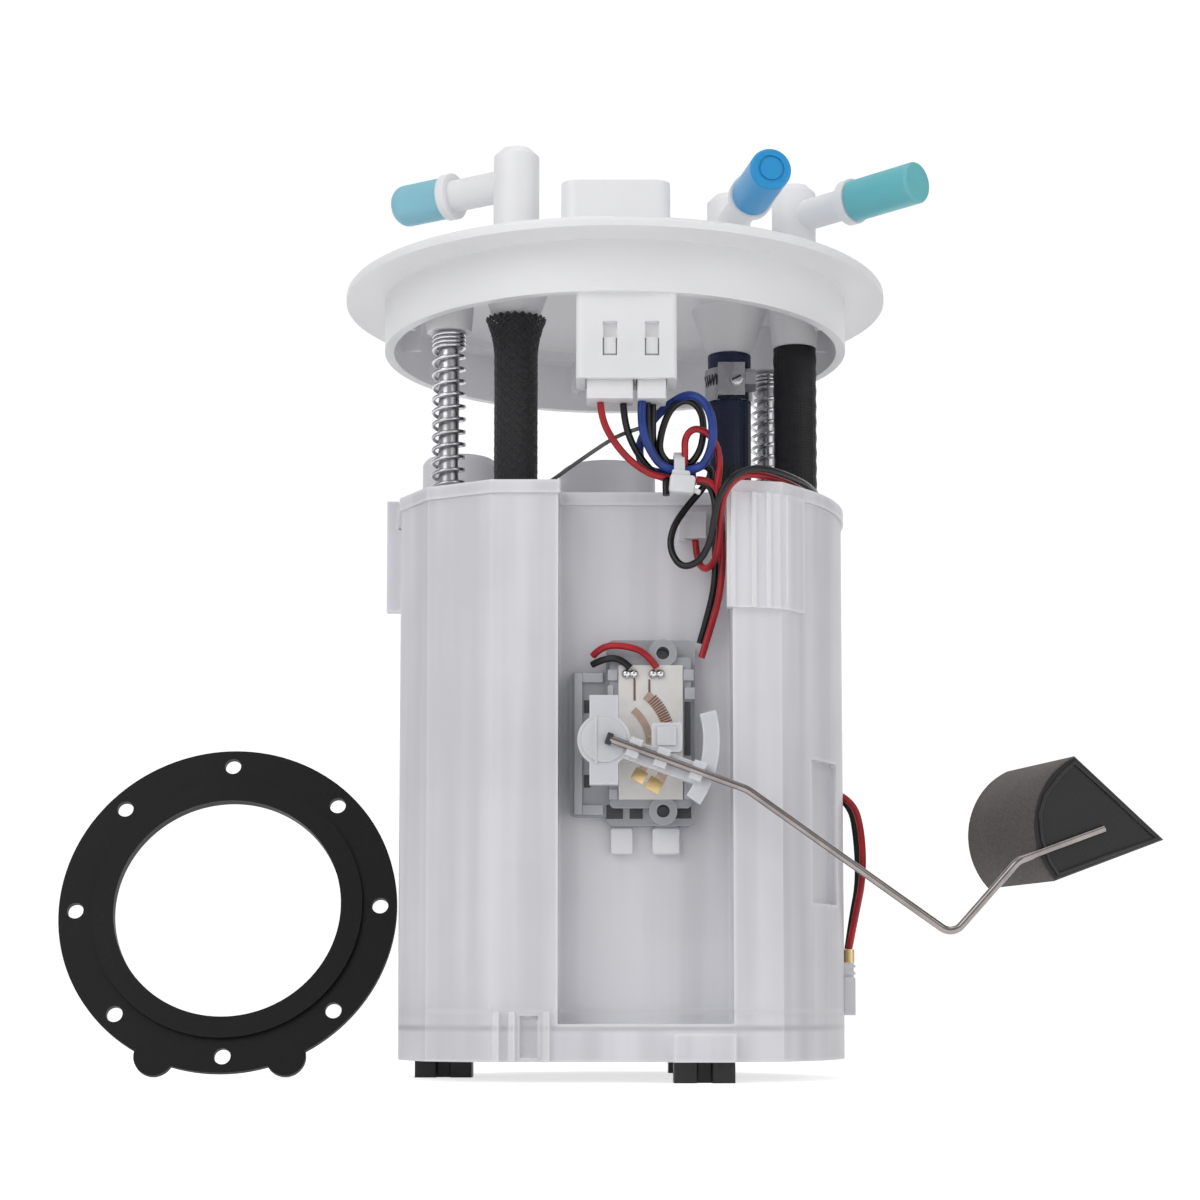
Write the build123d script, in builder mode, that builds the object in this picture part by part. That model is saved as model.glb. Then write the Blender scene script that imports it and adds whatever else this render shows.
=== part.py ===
from build123d import *
import math
import os

os.makedirs("parts", exist_ok=True)

# Lengths are in millimetres and angles in degrees.
# The origin is on the flange's axis, at the sealing face under its rim. Z points up, and the front is -Y.

# Levels of the bucket
floor_z = -200.0
foot_height = 5.0
pan_height = 12.0
plinth_height = 9.0
pan_floor = 2.5
lid_thickness = 3.2
lid_top_z = -55.0

pan_z = floor_z + foot_height
pan_floor_z = pan_z + pan_floor
seam_z = pan_z + pan_height
wall_top_z = lid_top_z - lid_thickness

# Flange
rim_radius = 70.0
rim_thickness = 2.5
platform_radius = 54.5
platform_height = 2.5
skirt_radius = 60.0
skirt_wall = 2.4
skirt_depth = 12.5
platform_z = rim_thickness + platform_height

# Clearances
running_fit = 0.06
loose_fit = 0.3
contact_gap = 0.1

# Ports: plan place of the post, heading of its side pipe from +X, and distance to the tip of its cap
left_port = (-25.0, -25.0, 149.0, 37.0)
front_port = (30.5, 10.0, -80.0, 46.7)
right_port = (47.3, 3.0, -45.0, 41.0)
post_radius = 5.8
post_top_z = 34.0
pipe_z = 25.5
pipe_radius = 4.0
pipe_bore = 2.8
bead_radius = 5.8
bead_width = 2.4
cap_radius = 5.25
cap_wall_end = 2.0
cap_length = 20.0
left_cap_length = 15.5

# Hoses, and the nipples that they are pushed on
hose_radius = 5.75
hose_bore = 4.0
nipple_radius = 3.9
nipple_bore = 2.6
cone_radius = 10.0
cone_depth = 9.5
barb_depth = 23.0
lid_nipple_height = 9.0
sleeve_wall = 0.8
flare_radius = 7.8
flare_depth = 10.0
wave_height = 0.25
wave_pitch = 4.0

# Guide rods and springs
rod_radius = 2.6
rod_length = 106.0
rod_top_z = -4.0
left_boss_depth = 13.0
right_boss_depth = 9.0
boss_radius = 7.0
boss_tip_radius = 5.6
spring_radius = 3.9
spring_wire = 1.0
spring_pitch = 3.2
guide_radius = 3.8
guide_depth = 42.0
collar_height = 2.0
collar_wall = 0.55

# Lower plug boss, plugs and upper connector
boss_left = -9.6
boss_right = 14.4
boss_front = -58.0
boss_back = -46.0
boss_bottom = -33.0
socket_depth = 10.0
plug_reach = 4.5
main_plug = (-7.1, 4.0)
signal_plug = (5.0, 11.9)
plug_front = -56.0
plug_back = -48.0
latch_window = (3.4, 8.3)
latch_z = -23.5
shell_width = 27.0
shell_depth = 18.0
shell_y = -32.0
shell_top_z = 21.0
shell_wall = 2.2
shell_corner = 4.0
pin_width = 1.2
pin_spacing = 4.6
pin_count = 4

# Bucket outline
tank_x = 1.5
tank_radius = 57.0
tank_wall = 2.4
front_y = -46.0
recess_left = -14.0
recess_right = 28.0
recess_y = -31.0
lid_overhang = 0.6
bump_drop = 28.0
bump_rib = 0.8
rod_ring = tank_radius - tank_wall - guide_radius - 0.8
left_rod = (tank_x - rod_ring * math.cos(math.radians(30)), -rod_ring * math.sin(math.radians(30)))
right_rod = (tank_x + rod_ring * math.cos(math.radians(36.5)), rod_ring * math.sin(math.radians(36.5)))
pocket_bottom = -156.7
pocket_height = 35.2
side_x = tank_x + tank_radius
right_turn = math.radians(35.4)
left_turn = math.radians(8.1)
facet_turn = math.radians(23.6)
facet_reach = 1.053 * tank_radius
right_start = (tank_x + tank_radius * math.cos(right_turn), -tank_radius * math.sin(right_turn))
right_corner = (right_start[0] - 8.0, right_start[1] - 10.0)
left_end = (tank_x - tank_radius * math.cos(left_turn), -tank_radius * math.sin(left_turn))
left_facet = (tank_x - facet_reach * math.cos(facet_turn), -facet_reach * math.sin(facet_turn))

# Level sender
frame_left = -10.3
frame_right = 19.3
frame_top = -92.4
frame_bottom = -138.0
frame_depth = 6.0
frame_hole = 1.6
card_left = 0.6
card_right = 16.2
card_top = -99.0
card_bottom = -131.8
card_thickness = 1.0
track_thickness = 0.15
track_radii = (11.2, 16.0)
track_widths = (1.8, 2.4)
track_from = -42.0
track_to = 50.0
pivot_x = -3.0
pivot_z = -118.5
pivot_radius = 2.0
hub_radius = 6.3
holder_back = -46.6
holder_thickness = 3.0
sector_outer = 27.6
sector_inner = 23.7
sector_from = -34.0
sector_to = 15.0
clip_depth = 2.0
rod_plane_y = -51.0
arm_wire_radius = 0.95
float_depth = 40.0
float_turn = 14.0

# Pump and what goes with it
pump_x = -2.0
pump_y = 22.0
pump_radius = 19.0
pump_wall = 1.5
pump_base_z = -178.0
pump_base_height = 8.0
pump_shell_top = -80.0
pump_top_height = 9.0
shaft_radius = 2.0
core_radius = 11.0
core_bottom = -150.0
core_top = -95.0
magnet_inner = 12.0
impeller_radius = 15.0
impeller_height = 3.5
filter_inner = 20.0
filter_gap = 2.3
filter_outer = tank_radius - tank_wall - math.hypot(pump_x - tank_x, pump_y) - filter_gap
filter_bottom = -165.0
filter_top = -92.0
pleats = 36

# Gasket
gasket_radius = 43.5
gasket_hole = 29.2
gasket_step = 34.7
gasket_thickness = 3.0
gasket_step_height = 1.2
gasket_holes = 8
gasket_hole_ring = 39.2
gasket_hole_radius = 2.1
tab_angle = 23.0
tab_ring = 42.5
tab_radius = 5.1
gasket_lean = 16.0
gasket_foot_y = -12.0

# Wires
wire_radius = 0.85
blue_wire_radius = 1.05
tie_x = 16.0
tie_y = -45.0
tie_z = -53.0
tie_radius = 3.9
tie_width = 4.4
tie_strap = 1.2


def tank_outline(grow=0.0):
    """The bucket's plan outline with the front recess, grown outwards by a distance."""
    with BuildSketch() as outline:
        with BuildLine():
            Polyline(
                left_end,
                left_facet,
                (left_facet[0] + 7.5, left_facet[1] - 13.0),
                (left_facet[0] + 23.5, front_y),
                (recess_left, front_y),
                (recess_left, recess_y),
                (recess_right, recess_y),
                (recess_right, front_y),
                right_corner,
                right_start,
            )
            ThreePointArc(right_start, (tank_x, tank_radius), left_end)
        make_face()
        if grow:
            offset(amount=grow)
    return outline.sketch


def heading_plane(port, distance):
    """A plane across a port's side pipe, at a distance from the post, facing away from it."""
    x, y, heading, _ = port
    way = Vector(math.cos(math.radians(heading)), math.sin(math.radians(heading)), 0)
    place = Vector(x, y, pipe_z) + way * distance
    return Plane(origin=place, x_dir=(0, 0, 1), z_dir=way)


def bend_radii(points):
    """An arc for each corner of a route: 0.45 of its shorter run over the tangent of half its turn."""
    corners = [Vector(*point) for point in points]
    radii = []
    for before, corner, after in zip(corners, corners[1:], corners[2:]):
        turn = (corner - before).get_angle(after - corner)
        shorter = min((corner - before).length, (after - corner).length)
        radii.append(0.45 * shorter / math.tan(math.radians(turn / 2)))
    return radii


def wire_along(name, points, radius):
    """A round wire along straight runs joined by arcs."""
    radii = bend_radii(points)
    with BuildPart() as wire:
        with BuildLine() as route:
            FilletPolyline(*points, radius=radii)
        path = route.wires()[0]
        with BuildSketch(Plane(origin=path @ 0, z_dir=path % 0)):
            Circle(radius)
        sweep(path=path)
    share = wire.part.volume / (math.pi * radius**2 * path.length)
    print(f"{name}: {path.length:.1f} mm long, tightest arc {min(radii):.1f} mm, volume share {share:.3f}")
    return wire


def disc(plane, radius, height, mode=Mode.ADD):
    """A round boss, or a round hole, on a plane of the part being built."""
    with BuildSketch(plane) as outline:
        Circle(radius)
    extrude(outline.sketch, amount=height, mode=mode)


# Flange
with BuildPart() as flange:
    disc(Plane.XY, rim_radius, rim_thickness)
    fillet(flange.edges().group_by(Axis.Z)[-1], 1.0)
    with BuildSketch(Plane.XY.offset(rim_thickness)):
        Circle(platform_radius)
    extrude(amount=platform_height, taper=25)
    disc(Plane.XY, platform_radius - 2.5, platform_height, Mode.SUBTRACT)
    with BuildSketch(Plane.XY):
        Circle(skirt_radius)
        Circle(skirt_radius - skirt_wall, mode=Mode.SUBTRACT)
    extrude(amount=-skirt_depth)

    # Webs inside the skirt
    with BuildSketch(Plane.XY.offset(platform_height)):
        with PolarLocations((skirt_radius - skirt_wall / 2 + platform_radius - 2.0) / 2, 16, start_angle=11.25):
            Rectangle(skirt_radius - skirt_wall / 2 - platform_radius + 2.0, 1.6)
    extrude(amount=-8.0 - platform_height)

    # Plug boss under the plate
    with BuildSketch(Plane.XY.offset(platform_height)):
        with Locations(((boss_left + boss_right) / 2, (boss_front + boss_back) / 2)):
            RectangleRounded(boss_right - boss_left, boss_back - boss_front, 1.5)
    extrude(amount=boss_bottom - platform_height)
    for left, right in (main_plug, signal_plug):
        with BuildSketch(Plane.XY.offset(boss_bottom)):
            with Locations(((left + right) / 2, (plug_front + plug_back) / 2)):
                Rectangle(right - left + 2 * loose_fit, plug_back - plug_front + 2 * loose_fit)
        extrude(amount=socket_depth, mode=Mode.SUBTRACT)
        with BuildSketch(Plane.XZ.offset(-plug_front)):
            with Locations(((left + right) / 2, latch_z)):
                Rectangle(*latch_window)
        extrude(amount=plug_front - boss_front + 1.0, mode=Mode.SUBTRACT)

    # Rod bosses, conical and open for the rods
    for (x, y), depth in ((left_rod, left_boss_depth), (right_rod, right_boss_depth)):
        with Locations((x, y, (platform_height - depth) / 2)):
            Cone(boss_tip_radius, boss_radius, depth + platform_height)
        disc(Plane((x, y, -depth)), rod_radius, depth + rod_top_z, Mode.SUBTRACT)

    # Posts, side pipes and nipples of the three ports
    for port, length in ((left_port, left_cap_length), (front_port, cap_length), (right_port, cap_length)):
        x, y, heading, reach = port
        disc(Plane((x, y, rim_thickness)), post_radius, post_top_z - rim_thickness - 2.0)
        with Locations((x, y, post_top_z - 2.0)):
            Cone(post_radius, post_radius - 2.0, 2.0, align=(Align.CENTER, Align.CENTER, Align.MIN))
        disc(Plane((x, y, platform_z)), post_radius + 1.2, 1.6)
        disc(heading_plane(port, 0), pipe_radius, reach - cap_wall_end - loose_fit)
        disc(heading_plane(port, reach - length - loose_fit - bead_width), bead_radius, bead_width)
        with Locations((x, y, (platform_height - cone_depth) / 2)):
            Cone(hose_radius, cone_radius if port != right_port else 7.0, cone_depth + platform_height)
        disc(Plane((x, y, -barb_depth)), nipple_radius, barb_depth)
    for port in (left_port, front_port, right_port):
        x, y, heading, reach = port
        disc(heading_plane(port, 0), pipe_bore, reach, Mode.SUBTRACT)
        disc(Plane((x, y, -barb_depth)), nipple_bore, barb_depth + pipe_z, Mode.SUBTRACT)

    # Connector shell on top, open upwards
    with BuildSketch(Plane.XY.offset(rim_thickness)):
        with Locations((0, shell_y)):
            RectangleRounded(shell_width, shell_depth, shell_corner)
    extrude(amount=shell_top_z - rim_thickness)
    with BuildSketch(Plane.XY.offset(platform_z)):
        with Locations((0, shell_y)):
            RectangleRounded(shell_width - 2 * shell_wall, shell_depth - 2 * shell_wall, shell_corner - shell_wall)
    extrude(amount=shell_top_z - platform_z, mode=Mode.SUBTRACT)
flange.part.label = "flange"
export_step(flange.part, "parts/flange.step")

# Pins of the connector, standing on the floor of its shell
with BuildPart() as socket_pins:
    with BuildSketch(Plane.XY.offset(platform_z)):
        with Locations((0, shell_y)):
            with GridLocations(pin_spacing, pin_spacing, pin_count, 1):
                Rectangle(pin_width, pin_width)
    extrude(amount=9.0)
socket_pins.part.label = "socket_pins"
export_step(socket_pins.part, "parts/socket_pins.step")

# Shipping caps over the side pipes
for name, port, length, rounding in (
    ("cap_left", left_port, left_cap_length, 3.5),
    ("cap_front", front_port, cap_length, 0.8),
    ("cap_right", right_port, cap_length, 0.8),
):
    mouth = heading_plane(port, port[3] - length)
    with BuildPart() as cap:
        disc(mouth, cap_radius, length)
        end = cap.faces().sort_by(Axis(mouth.origin, mouth.z_dir))[-1]
        fillet(end.edges(), rounding)
        disc(mouth, pipe_radius + running_fit, length - cap_wall_end, Mode.SUBTRACT)
        if name == "cap_front":
            with BuildSketch(heading_plane(port, port[3])):
                Circle(3.4)
                Circle(2.7, mode=Mode.SUBTRACT)
            extrude(amount=-0.4, mode=Mode.SUBTRACT)
    cap.part.label = name
    export_step(cap.part, f"parts/{name}.step")

# Guide rods, pressed in the flange, and the springs round them
for side, (x, y), depth in (("left", left_rod, left_boss_depth), ("right", right_rod, right_boss_depth)):
    with BuildPart() as guide_rod:
        disc(Plane((x, y, rod_top_z - rod_length)), rod_radius, rod_length)
        chamfer(guide_rod.edges().group_by(Axis.Z)[0], 0.8)
    guide_rod.part.label = f"guide_rod_{side}"
    export_step(guide_rod.part, f"parts/guide_rod_{side}.step")

    spring_height = -depth - lid_top_z - spring_wire - 2 * contact_gap
    turns = spring_height / spring_pitch
    with BuildPart() as spring:
        with BuildLine() as coil:
            foot = (x, y, lid_top_z + spring_wire / 2 + contact_gap)
            Helix(spring_height / turns, spring_height, spring_radius, center=foot)
        path = coil.wires()[0]
        with BuildSketch(Plane(origin=path @ 0, z_dir=path % 0)):
            Circle(spring_wire / 2)
        sweep(path=path, is_frenet=True)
    spring.part.label = f"spring_{side}"
    export_step(spring.part, f"parts/spring_{side}.step")

# Hoses, with their lower ends on the lid's nipples
hose_top = -cone_depth - contact_gap
hose_foot = lid_top_z + contact_gap
for name, port, radius in (("hose_inner", left_port, hose_radius - sleeve_wall - contact_gap),
                           ("hose_navy", front_port, hose_radius)):
    with BuildPart() as hose:
        with BuildSketch(Plane((port[0], port[1], hose_foot))):
            Circle(radius)
            Circle(hose_bore, mode=Mode.SUBTRACT)
        extrude(amount=hose_top - hose_foot)
    hose.part.label = name
    export_step(hose.part, f"parts/{name}.step")

with BuildPart() as hose_black:
    with BuildSketch(Plane((right_port[0], right_port[1], hose_foot))):
        Circle(hose_radius - wave_height)
        Circle(hose_bore, mode=Mode.SUBTRACT)
    extrude(amount=hose_top - hose_foot)
    waves = int((hose_top - hose_foot) / wave_pitch)
    for wave in range(waves):
        with BuildSketch(Plane((right_port[0], right_port[1], hose_foot + (wave + 0.5) * wave_pitch))):
            Circle(hose_radius)
            Circle(hose_bore, mode=Mode.SUBTRACT)
        extrude(amount=wave_pitch / 2)
hose_black.part.label = "hose_black"
export_step(hose_black.part, "parts/hose_black.step")

# Braid over the left hose, opening out towards the flange
with BuildPart() as braided_sleeve:
    braid_outer = hose_radius
    braid_inner = hose_radius - sleeve_wall
    braid_plane = Plane(origin=(left_port[0], left_port[1], 0), x_dir=(1, 0, 0), z_dir=(0, -1, 0))
    with BuildSketch(braid_plane):
        Polygon(
            (braid_inner, hose_foot),
            (braid_outer, hose_foot),
            (braid_outer, hose_top - flare_depth),
            (flare_radius, hose_top),
            (flare_radius - sleeve_wall, hose_top),
            (braid_inner, hose_top - flare_depth),
            align=None,
        )
    revolve(axis=Axis((left_port[0], left_port[1], 0), (0, 0, 1)))
braided_sleeve.part.label = "braided_sleeve"
export_step(braided_sleeve.part, "parts/braided_sleeve.step")

# Worm clamp on the navy hose
clamp_z = -22.5
clamp_height = 8.7
band_inner = hose_radius + running_fit
band_outer = band_inner + 0.7
screw_y = front_port[1] - band_outer - 1.8
screw_z = clamp_z + clamp_height / 2
with BuildPart() as clamp_band:
    with BuildSketch(Plane((front_port[0], front_port[1], clamp_z))):
        Circle(band_outer)
        Circle(band_inner, mode=Mode.SUBTRACT)
    extrude(amount=clamp_height)
    with Locations((front_port[0], screw_y, screw_z)):
        Box(7.0, 4.4, clamp_height)
    disc(Plane((front_port[0], front_port[1], clamp_z)), band_inner, clamp_height, Mode.SUBTRACT)
    worm = Plane(origin=(front_port[0] - 5.0, screw_y, screw_z), x_dir=(0, 0, 1), z_dir=(1, 0, 0))
    disc(worm, 1.7 + running_fit, 10.0, Mode.SUBTRACT)
clamp_band.part.label = "clamp_band"
export_step(clamp_band.part, "parts/clamp_band.step")

with BuildPart() as clamp_screw:
    disc(worm.offset(1.5), 1.7, 7.1)
    with BuildSketch(worm.offset(8.6)):
        RegularPolygon(3.2, 6)
    extrude(amount=2.8)
    with BuildSketch(worm.offset(11.4)):
        Rectangle(7.0, 0.8)
    extrude(amount=-1.2, mode=Mode.SUBTRACT)
clamp_screw.part.label = "clamp_screw"
export_step(clamp_screw.part, "parts/clamp_screw.step")

# Plugs of the lower boss, each with a latch that shows in its window
for name, (left, right) in (("plug_main", main_plug), ("plug_signal", signal_plug)):
    with BuildPart() as plug:
        with BuildSketch(Plane.XY.offset(boss_bottom - plug_reach)):
            with Locations(((left + right) / 2, (plug_front + plug_back) / 2)):
                RectangleRounded(right - left, plug_back - plug_front, 0.8)
        extrude(amount=plug_reach + socket_depth - loose_fit)
        with BuildSketch(Plane.XZ.offset(-plug_front)):
            with Locations(((left + right) / 2, latch_z - 1.5)):
                Rectangle(latch_window[0] - 2 * loose_fit, 4.0)
        extrude(amount=1.2)
    plug.part.label = name
    export_step(plug.part, f"parts/{name}.step")

# Bucket wall, open above and below
with BuildPart() as reservoir_body:
    with BuildSketch(Plane.XY.offset(seam_z)):
        add(tank_outline())
        add(tank_outline(-tank_wall), mode=Mode.SUBTRACT)
    extrude(amount=wall_top_z - seam_z)

    # Raised bump with ribs on the right lobe
    bump_left = Vector(recess_right - 1.4, front_y - 1.8)
    bump_middle = Vector(*right_corner) + Vector(-0.4, -1.8)
    bump_right = Vector(*right_corner) + Vector(6.2, 5.6)
    with BuildSketch(Plane.XY.offset(wall_top_z)):
        with BuildLine():
            Polyline(
                (recess_right - 1.4, front_y + 1.8),
                bump_left,
                bump_middle,
                bump_right,
                (right_corner[0] + 2.4, right_corner[1] + 6.6),
                (right_corner[0] - 1.4, right_corner[1] + 0.8),
                (recess_right, front_y + 1.8),
                close=True,
            )
        make_face()
    extrude(amount=-bump_drop)
    for start, end, share in (
        (bump_left, bump_middle, 0.1),
        (bump_left, bump_middle, 0.5),
        (bump_left, bump_middle, 0.77),
        (bump_middle, bump_right, 0.27),
    ):
        place = start + (end - start) * share
        turn = math.degrees(math.atan2(end.Y - start.Y, end.X - start.X))
        with Locations(Location((place.X, place.Y, wall_top_z - bump_drop / 2), (0, 0, turn))):
            Box(1.0, 2 * bump_rib, bump_drop)

    # Pocket in the right side, and the hole where the side wires leave
    pocket_plane = Plane((tank_x, 0, pocket_bottom)).rotated((0, 0, -27.5))
    with BuildSketch(pocket_plane):
        with Locations((tank_radius, 0)):
            Rectangle(2 * (tank_wall + 1.0), 16.0)
    extrude(amount=pocket_height, mode=Mode.SUBTRACT)
    with BuildSketch(pocket_plane):
        with Locations((tank_radius - tank_wall - 0.6, 0)):
            Rectangle(1.2, 20.0)
    extrude(amount=pocket_height)
    with Locations(Location((tank_x + tank_radius - 1.0, 0, -128.0), (0, 90, 0))):
        Cylinder(3.4, 8.0, mode=Mode.SUBTRACT)

    # Ear on the left side, standing clear of the lid
    with Locations((tank_x - tank_radius - 2.2, 0, -65.5)):
        Box(3.0, 3.0, 29.0)
    with Locations((tank_x - tank_radius, 0, -69.2)):
        Box(2.0, 3.0, 21.6)

    # Bosses for the two screws of the sender, and the seat of the wire clip
    for z in (-96.0, -134.6):
        with Locations(Location((11.4, recess_y + 2.6, z), (90, 0, 0))):
            Cylinder(3.0, 3.6)
reservoir_body.part.label = "reservoir_body"
export_step(reservoir_body.part, "parts/reservoir_body.step")

# Base pan with the plinth that fills the recess
with BuildPart() as base_pan:
    with BuildSketch(Plane.XY.offset(pan_z)):
        add(tank_outline())
        with Locations(((recess_left + recess_right) / 2, (front_y + recess_y) / 2)):
            Rectangle(recess_right - recess_left, recess_y - front_y)
    extrude(amount=plinth_height)
    with BuildSketch(Plane.XY.offset(pan_z + plinth_height)):
        add(tank_outline())
    extrude(amount=pan_height - plinth_height)
    with BuildSketch(Plane.XY.offset(pan_floor_z)):
        add(tank_outline(-tank_wall))
    extrude(amount=pan_height, mode=Mode.SUBTRACT)

    # Open pocket and fins at the front of the left lobe
    with Locations((-20.8, front_y, pan_z + 6.0)):
        Box(4.4, tank_wall, 10.0, mode=Mode.SUBTRACT)
    for x in (-28.6, -24.8, -16.6):
        with Locations((x, front_y - 0.5, pan_z + pan_height / 2)):
            Box(1.4, 1.4, pan_height)

    # Boss over the front foot
    with Locations((21.0, front_y - 1.0, pan_z + 3.4)):
        Box(14.6, 3.0, 6.8)

    # Posts that carry the pump, and the ring that carries the filter
    with BuildSketch(Plane.XY.offset(pan_floor_z)):
        with Locations((pump_x, pump_y)):
            with PolarLocations(pump_radius - 3.0, 3, start_angle=30):
                Circle(1.8)
    extrude(amount=pump_base_z - pan_floor_z)
    with BuildSketch(Plane.XY.offset(pan_floor_z)):
        with Locations((pump_x, pump_y)):
            Circle(filter_outer - 1.0)
            Circle(filter_outer - 3.0, mode=Mode.SUBTRACT)
    extrude(amount=filter_bottom - pan_floor_z)

    # Inlet holes under the rubber valve
    with BuildSketch(Plane.XY.offset(pan_z)):
        with Locations((-36.0, -14.0)):
            with PolarLocations(3.6, 4):
                Circle(1.5)
            Circle(1.0)
    extrude(amount=pan_floor, mode=Mode.SUBTRACT)
base_pan.part.label = "base_pan"
export_step(base_pan.part, "parts/base_pan.step")

# Lid with rod guides, hose nipples and the holes for the housings behind
lead_hole = (side_x - 8.1, -13.5)
regulator_place = (-41.0, 12.0)
regulator_radius = 7.5
housing_radius = 10.0
housing_top = -37.0
filter_cap_radius = 13.0
with BuildPart() as lid:
    with BuildSketch(Plane.XY.offset(wall_top_z)):
        add(tank_outline(lid_overhang))
    extrude(amount=lid_thickness)
    with BuildSketch(Plane.XY.offset(wall_top_z)):
        add(tank_outline(-tank_wall - contact_gap))
        add(tank_outline(-tank_wall - 2.0), mode=Mode.SUBTRACT)
    extrude(amount=-3.0)
    for x, y in (left_rod, right_rod):
        disc(Plane((x, y, lid_top_z)), guide_radius, -guide_depth)
        disc(Plane((x, y, lid_top_z)), rod_radius + running_fit + collar_wall, collar_height)
        disc(Plane((x, y, lid_top_z + collar_height)), rod_radius + running_fit, -guide_depth - 5.0, Mode.SUBTRACT)
    for port in (left_port, front_port, right_port):
        x, y = port[:2]
        disc(Plane((x, y, lid_top_z)), nipple_radius, lid_nipple_height)
        disc(Plane((x, y, wall_top_z)), nipple_bore, lid_thickness + lid_nipple_height, Mode.SUBTRACT)
    disc(Plane((*regulator_place, wall_top_z)), regulator_radius + loose_fit, lid_thickness, Mode.SUBTRACT)
    disc(Plane((pump_x, pump_y, wall_top_z)), 5.0, lid_thickness, Mode.SUBTRACT)
    with BuildSketch(Plane.XY.offset(lid_top_z)):
        with Locations(lead_hole):
            RectangleRounded(6.0, 9.0, 1.5)
    extrude(amount=-lid_thickness - 3.0, mode=Mode.SUBTRACT)
lid.part.label = "lid"
export_step(lid.part, "parts/lid.step")

# Rubber feet, each with a slot at its front
with BuildPart() as feet:
    for x, y in ((-44.0, 4.0), (21.0, -40.0), (22.0, 42.0)):
        with Locations((x, y, floor_z + foot_height / 2)):
            Box(14.6, 10.0, foot_height)
        with Locations((x, y - 4.0, floor_z + foot_height / 2)):
            Box(3.6, 4.0, foot_height, mode=Mode.SUBTRACT)
    fillet(feet.edges().filter_by(Axis.Z).group_by(SortBy.LENGTH)[-1], 0.6)
feet.part.label = "feet"
export_step(feet.part, "parts/feet.step")

# Regulator housing and filter cap on the lid
with BuildPart() as regulator_housing:
    disc(Plane((*regulator_place, lid_top_z)), housing_radius, housing_top - lid_top_z)
    fillet(regulator_housing.edges().group_by(Axis.Z)[-1], 2.5)
    disc(Plane((*regulator_place, lid_top_z)), regulator_radius + loose_fit, 14.0, Mode.SUBTRACT)
regulator_housing.part.label = "regulator_housing"
export_step(regulator_housing.part, "parts/regulator_housing.step")

with BuildPart() as filter_cap:
    disc(Plane((pump_x, pump_y, lid_top_z)), filter_cap_radius, housing_top - lid_top_z)
    fillet(filter_cap.edges().group_by(Axis.Z)[-1], 3.0)
    disc(Plane((pump_x, pump_y, lid_top_z)), filter_cap_radius - 2.0, 14.0, Mode.SUBTRACT)
filter_cap.part.label = "filter_cap"
export_step(filter_cap.part, "parts/filter_cap.step")

# Pressure regulator and its seal, inside the housing
with BuildPart() as pressure_regulator:
    disc(Plane((*regulator_place, -66.0)), regulator_radius, 24.7)
    disc(Plane((*regulator_place, -74.0)), 3.0, 8.0)
    disc(Plane((*regulator_place, -74.0)), 1.5, 20.0, Mode.SUBTRACT)
    with BuildSketch(Plane((*regulator_place, -51.0))):
        Circle(regulator_radius)
        Circle(regulator_radius - 1.2, mode=Mode.SUBTRACT)
    extrude(amount=2.4, mode=Mode.SUBTRACT)
pressure_regulator.part.label = "pressure_regulator"
export_step(pressure_regulator.part, "parts/pressure_regulator.step")

with BuildPart() as regulator_oring:
    with Locations((*regulator_place, -49.8)):
        Torus(regulator_radius - 0.4, 0.65)
regulator_oring.part.label = "regulator_oring"
export_step(regulator_oring.part, "parts/regulator_oring.step")

# Frame of the level sender, with the wing, screw bosses, clips and the pivot pin
frame_front = recess_y - frame_depth
card_front = frame_front - card_thickness
with BuildPart() as sender_frame:
    with BuildSketch(Plane.XZ.offset(-recess_y)):
        with Locations(((frame_right + card_left - 3.0) / 2, (frame_top + frame_bottom) / 2)):
            RectangleRounded(frame_right - card_left + 3.0, frame_top - frame_bottom, 2.0)
        with Locations(((frame_left + card_left) / 2, -118.0)):
            RectangleRounded(card_left - frame_left + 2.0, 35.4, 1.5)
    extrude(amount=frame_depth - 2.0)
    with BuildSketch(Plane.XZ.offset(-recess_y + frame_depth - 2.0)):
        with Locations(((card_left + card_right) / 2, (card_top + card_bottom) / 2)):
            RectangleRounded(card_right - card_left + 4.0, card_top - card_bottom + 4.0, 1.0)
    extrude(amount=2.0)
    with BuildSketch(Plane.XZ.offset(-recess_y)):
        with Locations((1.3, frame_bottom - 2.6), (12.2, frame_bottom - 2.6)):
            RectangleRounded(5.2, 8.0, 1.0)
    extrude(amount=2.6)
    for z in (frame_top - 3.6, frame_bottom + 3.4):
        pad = Plane(origin=(11.4, recess_y, z), x_dir=(1, 0, 0), z_dir=(0, -1, 0))
        disc(pad, 3.4, frame_depth + 1.0)
        disc(pad, frame_hole, frame_depth + 1.0, Mode.SUBTRACT)
    pin_foot_y = recess_y - 3.0
    pin = Plane(origin=(pivot_x, pin_foot_y, pivot_z), x_dir=(1, 0, 0), z_dir=(0, -1, 0))
    disc(pin, pivot_radius + 0.9, pin_foot_y - holder_back - loose_fit)
    disc(pin, pivot_radius, pin_foot_y - holder_back + holder_thickness - loose_fit)
    with BuildSketch(Plane.XZ.offset(-frame_front)):
        with Locations(((card_left + card_right) / 2, (card_top + card_bottom) / 2)):
            Rectangle(card_right - card_left, card_top - card_bottom)
    extrude(amount=3.0, mode=Mode.SUBTRACT)
sender_frame.part.label = "sender_frame"
export_step(sender_frame.part, "parts/sender_frame.step")

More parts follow.
